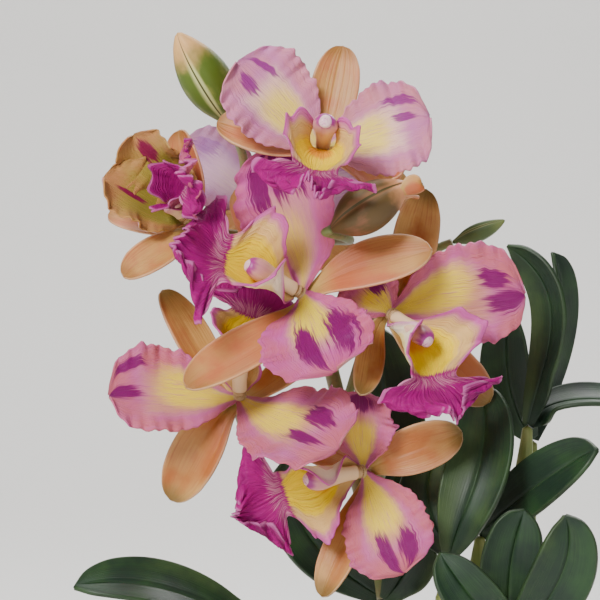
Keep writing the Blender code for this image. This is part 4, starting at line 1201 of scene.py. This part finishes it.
def make_pot():
    step = POT_HEIGHT - RIM_HEIGHT
    wall = POT_FOOT_RADIUS + (POT_TOP_RADIUS - RIM_STEP - POT_FOOT_RADIUS) * step / POT_HEIGHT
    profile = (
        (0, POT_WALL),
        (inner_radius(POT_WALL), POT_WALL),
        (inner_radius(POT_HEIGHT), POT_HEIGHT),
        (POT_TOP_RADIUS, POT_HEIGHT),
        (POT_TOP_RADIUS - 1.9, step),
        (wall, step),
        (POT_FOOT_RADIUS, 0),
        (0, 0),
    )
    shape = bmesh.new()
    line = [shape.verts.new((r * MM, 0, z * MM)) for r, z in eased(profile, 2.0)]
    for a, b in zip(line, line[1:]):
        shape.edges.new((a, b))
    mesh = bpy.data.meshes.new("clay_pot")
    shape.to_mesh(mesh)
    shape.free()
    pot = add_object("clay_pot", mesh)
    turn = pot.modifiers.new("turn", "SCREW")
    turn.steps = turn.render_steps = 128
    turn.use_merge_vertices = True
    turn.merge_threshold = 0.00001
    turn.use_normal_calculate = True
    shape = bmesh.new()
    for k in range(3):
        angle = math.radians(90 + 120 * k)
        place = Vector((math.cos(angle) * DRAIN_CIRCLE, math.sin(angle) * DRAIN_CIRCLE, POT_WALL / 2)) * MM
        bmesh.ops.create_cone(shape, cap_ends=True, segments=40, radius1=DRAIN_RADIUS * MM, radius2=DRAIN_RADIUS * MM,
                              depth=POT_WALL * 2 * MM, matrix=Matrix.Translation(place))  # fmt: skip
    mesh = bpy.data.meshes.new("drains")
    shape.to_mesh(mesh)
    shape.free()
    cutter = add_object("drains", mesh)
    drains = pot.modifiers.new("drains", "BOOLEAN")
    drains.object = cutter
    settled(pot)
    bpy.data.objects.remove(cutter)
    pot.data.materials.clear()
    pot.data.materials.append(CLAY)
    pot.data.shade_smooth()
    pot.data.set_sharp_from_angle(angle=math.radians(40))
    dress(pot, "pot")


def chip_bed_tree():
    """Scatters rough chips over a round bed, and joins them to the bark below."""
    tree = bpy.data.node_groups.new("bark chips over the pot", "GeometryNodeTree")
    for name, kind in (("Geometry", "NodeSocketGeometry"), ("Bed radius", "NodeSocketFloat"),
                       ("Bed height", "NodeSocketFloat"), ("Chip spacing", "NodeSocketFloat"),
                       ("Seed", "NodeSocketInt"), ("Bark", "NodeSocketMaterial")):  # fmt: skip
        tree.interface.new_socket(name, in_out="INPUT", socket_type=kind)
    tree.interface.new_socket("Geometry", in_out="OUTPUT", socket_type="NodeSocketGeometry")
    given = add(tree, "NodeGroupInput").outputs
    bed = add(tree, "GeometryNodeMeshCircle", {"Vertices": 48, "Radius": given["Bed radius"]}, fill_type="NGON")
    lift = add(tree, "ShaderNodeCombineXYZ", {"Z": given["Bed height"]}).outputs[0]
    bed = add(tree, "GeometryNodeTransform", {"Geometry": bed.outputs[0], "Translation": lift}).outputs[0]
    points = add(
        tree, "GeometryNodeDistributePointsOnFaces",
        {"Mesh": bed, "Distance Min": given["Chip spacing"], "Density Max": 60000.0, "Seed": given["Seed"]},
        distribute_method="POISSON",
    ).outputs[0]  # fmt: skip
    block = add(tree, "GeometryNodeMeshCube", {"Vertices X": 6, "Vertices Y": 5, "Vertices Z": 4}).outputs[0]
    turns = add(tree, "FunctionNodeRandomValue", {0: (-0.5, -0.5, 0.0), 1: (0.5, 0.5, 6.3), "Seed": given["Seed"]},
                data_type="FLOAT_VECTOR").outputs[0]  # fmt: skip
    sizes = add(tree, "FunctionNodeRandomValue", {0: (0.009, 0.006, 0.003), 1: (0.019, 0.011, 0.0065), "Seed": 9},
                data_type="FLOAT_VECTOR").outputs[0]  # fmt: skip
    chips = add(tree, "GeometryNodeInstanceOnPoints",
                {"Points": points, "Instance": block, "Rotation": turns, "Scale": sizes}).outputs[0]  # fmt: skip
    chips = add(tree, "GeometryNodeRealizeInstances", {"Geometry": chips}).outputs[0]
    where = add(tree, "GeometryNodeInputPosition").outputs[0]
    noise = add(tree, "ShaderNodeTexNoise", {"Vector": where, "Scale": 150.0, "Detail": 4.0}).outputs["Color"]
    centred = add(tree, "ShaderNodeVectorMath", {0: noise, 1: (0.5, 0.5, 0.5)}, operation="SUBTRACT").outputs[0]
    push = add(tree, "ShaderNodeVectorMath", {0: centred, "Scale": 0.012}, operation="SCALE").outputs[0]
    chips = add(tree, "GeometryNodeSetPosition", {"Geometry": chips, "Offset": push}).outputs[0]
    whole = add(tree, "GeometryNodeJoinGeometry").inputs[0].node
    tree.links.new(chips, whole.inputs[0])
    tree.links.new(given["Geometry"], whole.inputs[0])
    flat = add(tree, "GeometryNodeSetShadeSmooth", {"Geometry": whole.outputs[0], "Shade Smooth": False}).outputs[0]
    looks = add(tree, "GeometryNodeSetMaterial", {"Geometry": flat, "Material": given["Bark"]}).outputs[0]
    add(tree, "NodeGroupOutput", {"Geometry": looks})
    return tree


def make_bark():
    low, high = POT_WALL + GAP, BARK_TOP
    shape = bmesh.new()
    bmesh.ops.create_cone(
        shape, cap_ends=True, segments=64, radius1=(inner_radius(low) - BARK_SIDE_GAP) * MM,
        radius2=(inner_radius(high) - BARK_SIDE_GAP) * MM, depth=(high - low) * MM,
        matrix=Matrix.Translation((0, 0, (low + high) / 2 * MM)),
    )  # fmt: skip
    mesh = bpy.data.meshes.new("bark_chips")
    shape.to_mesh(mesh)
    shape.free()
    made = add_object("bark_chips", mesh)
    scatter = made.modifiers.new("chips", "NODES")
    scatter.node_group = chip_bed_tree()
    values = {"Bed radius": (inner_radius(high) - 6) * MM, "Bed height": (high + 1.0) * MM, "Chip spacing": 5.4 * MM,
              "Seed": 4, "Bark": BARK}  # fmt: skip
    for socket in scatter.node_group.interface.items_tree:
        if socket.name in values:
            scatter[socket.identifier] = values[socket.name]
    made.update_tag()
    dress(settled(made), "bark")


# The studio

def make_studio():
    """A pale floor that sweeps up behind the plant, and soft lights round it."""
    made, tree, shader = new_material("pale floor", Roughness=0.9)
    shader.inputs["Base Color"].default_value = linear("#F1EFEB")
    shape = bmesh.new()
    profile = [(-4.0, 0.0)] + [(2.4 + 0.8 * math.sin(a), 0.8 - 0.8 * math.cos(a)) for a in np.linspace(0, math.pi / 2, 17)]
    profile.append((3.2, 5.0))
    rows = [[shape.verts.new((x, y, z)) for x in (-5.0, 5.0)] for y, z in profile]
    for a, b in zip(rows, rows[1:]):
        shape.faces.new((a[0], a[1], b[1], b[0]))
    mesh = bpy.data.meshes.new("floor")
    shape.to_mesh(mesh)
    shape.free()
    mesh.materials.append(made)
    mesh.shade_smooth()
    add_object("floor", mesh)

    target = Vector((-0.03, -0.03, 0.3))
    for name, place, size, power in (
        ("key", (-0.75, -1.3, 1.2), 0.7, 47.0),
        ("fill", (1.2, -1.1, 0.35), 1.2, 4.0),
        ("rim", (0.5, 0.75, 1.1), 0.6, 10.0),
        ("backdrop", (0.0, 1.3, 3.6), 2.0, 130.0),
    ):
        if name == "backdrop":
            target = Vector((0.0, 3.2, 0.4))
        light = bpy.data.lights.new(name, "AREA")
        light.shape = "DISK"
        light.size = size
        light.energy = power
        lamp = bpy.data.objects.new(name, light)
        lamp.location = place
        lamp.rotation_euler = (target - Vector(place)).to_track_quat("-Z", "Y").to_euler()
        bpy.context.scene.collection.objects.link(lamp)
    world = bpy.data.worlds.new("studio")
    world.use_nodes = True
    world.node_tree.nodes["Background"].inputs["Color"].default_value = (0.9, 0.93, 1.0, 1)
    world.node_tree.nodes["Background"].inputs["Strength"].default_value = 0.2
    bpy.context.scene.world = world

    lens = bpy.data.cameras.new("camera")
    lens.lens = 135
    lens.sensor_width = 36
    camera = bpy.data.objects.new("camera", lens)
    camera.location = (-0.044, -0.930, 0.310)
    camera.rotation_euler = (math.radians(90), 0, 0)
    bpy.context.scene.collection.objects.link(camera)
    bpy.context.scene.camera = camera


make_blooms()
make_buds()
make_flower_stem()
make_canes()
make_leaves()
make_rhizome()
make_roots()
make_bark()
make_pot()
make_studio()
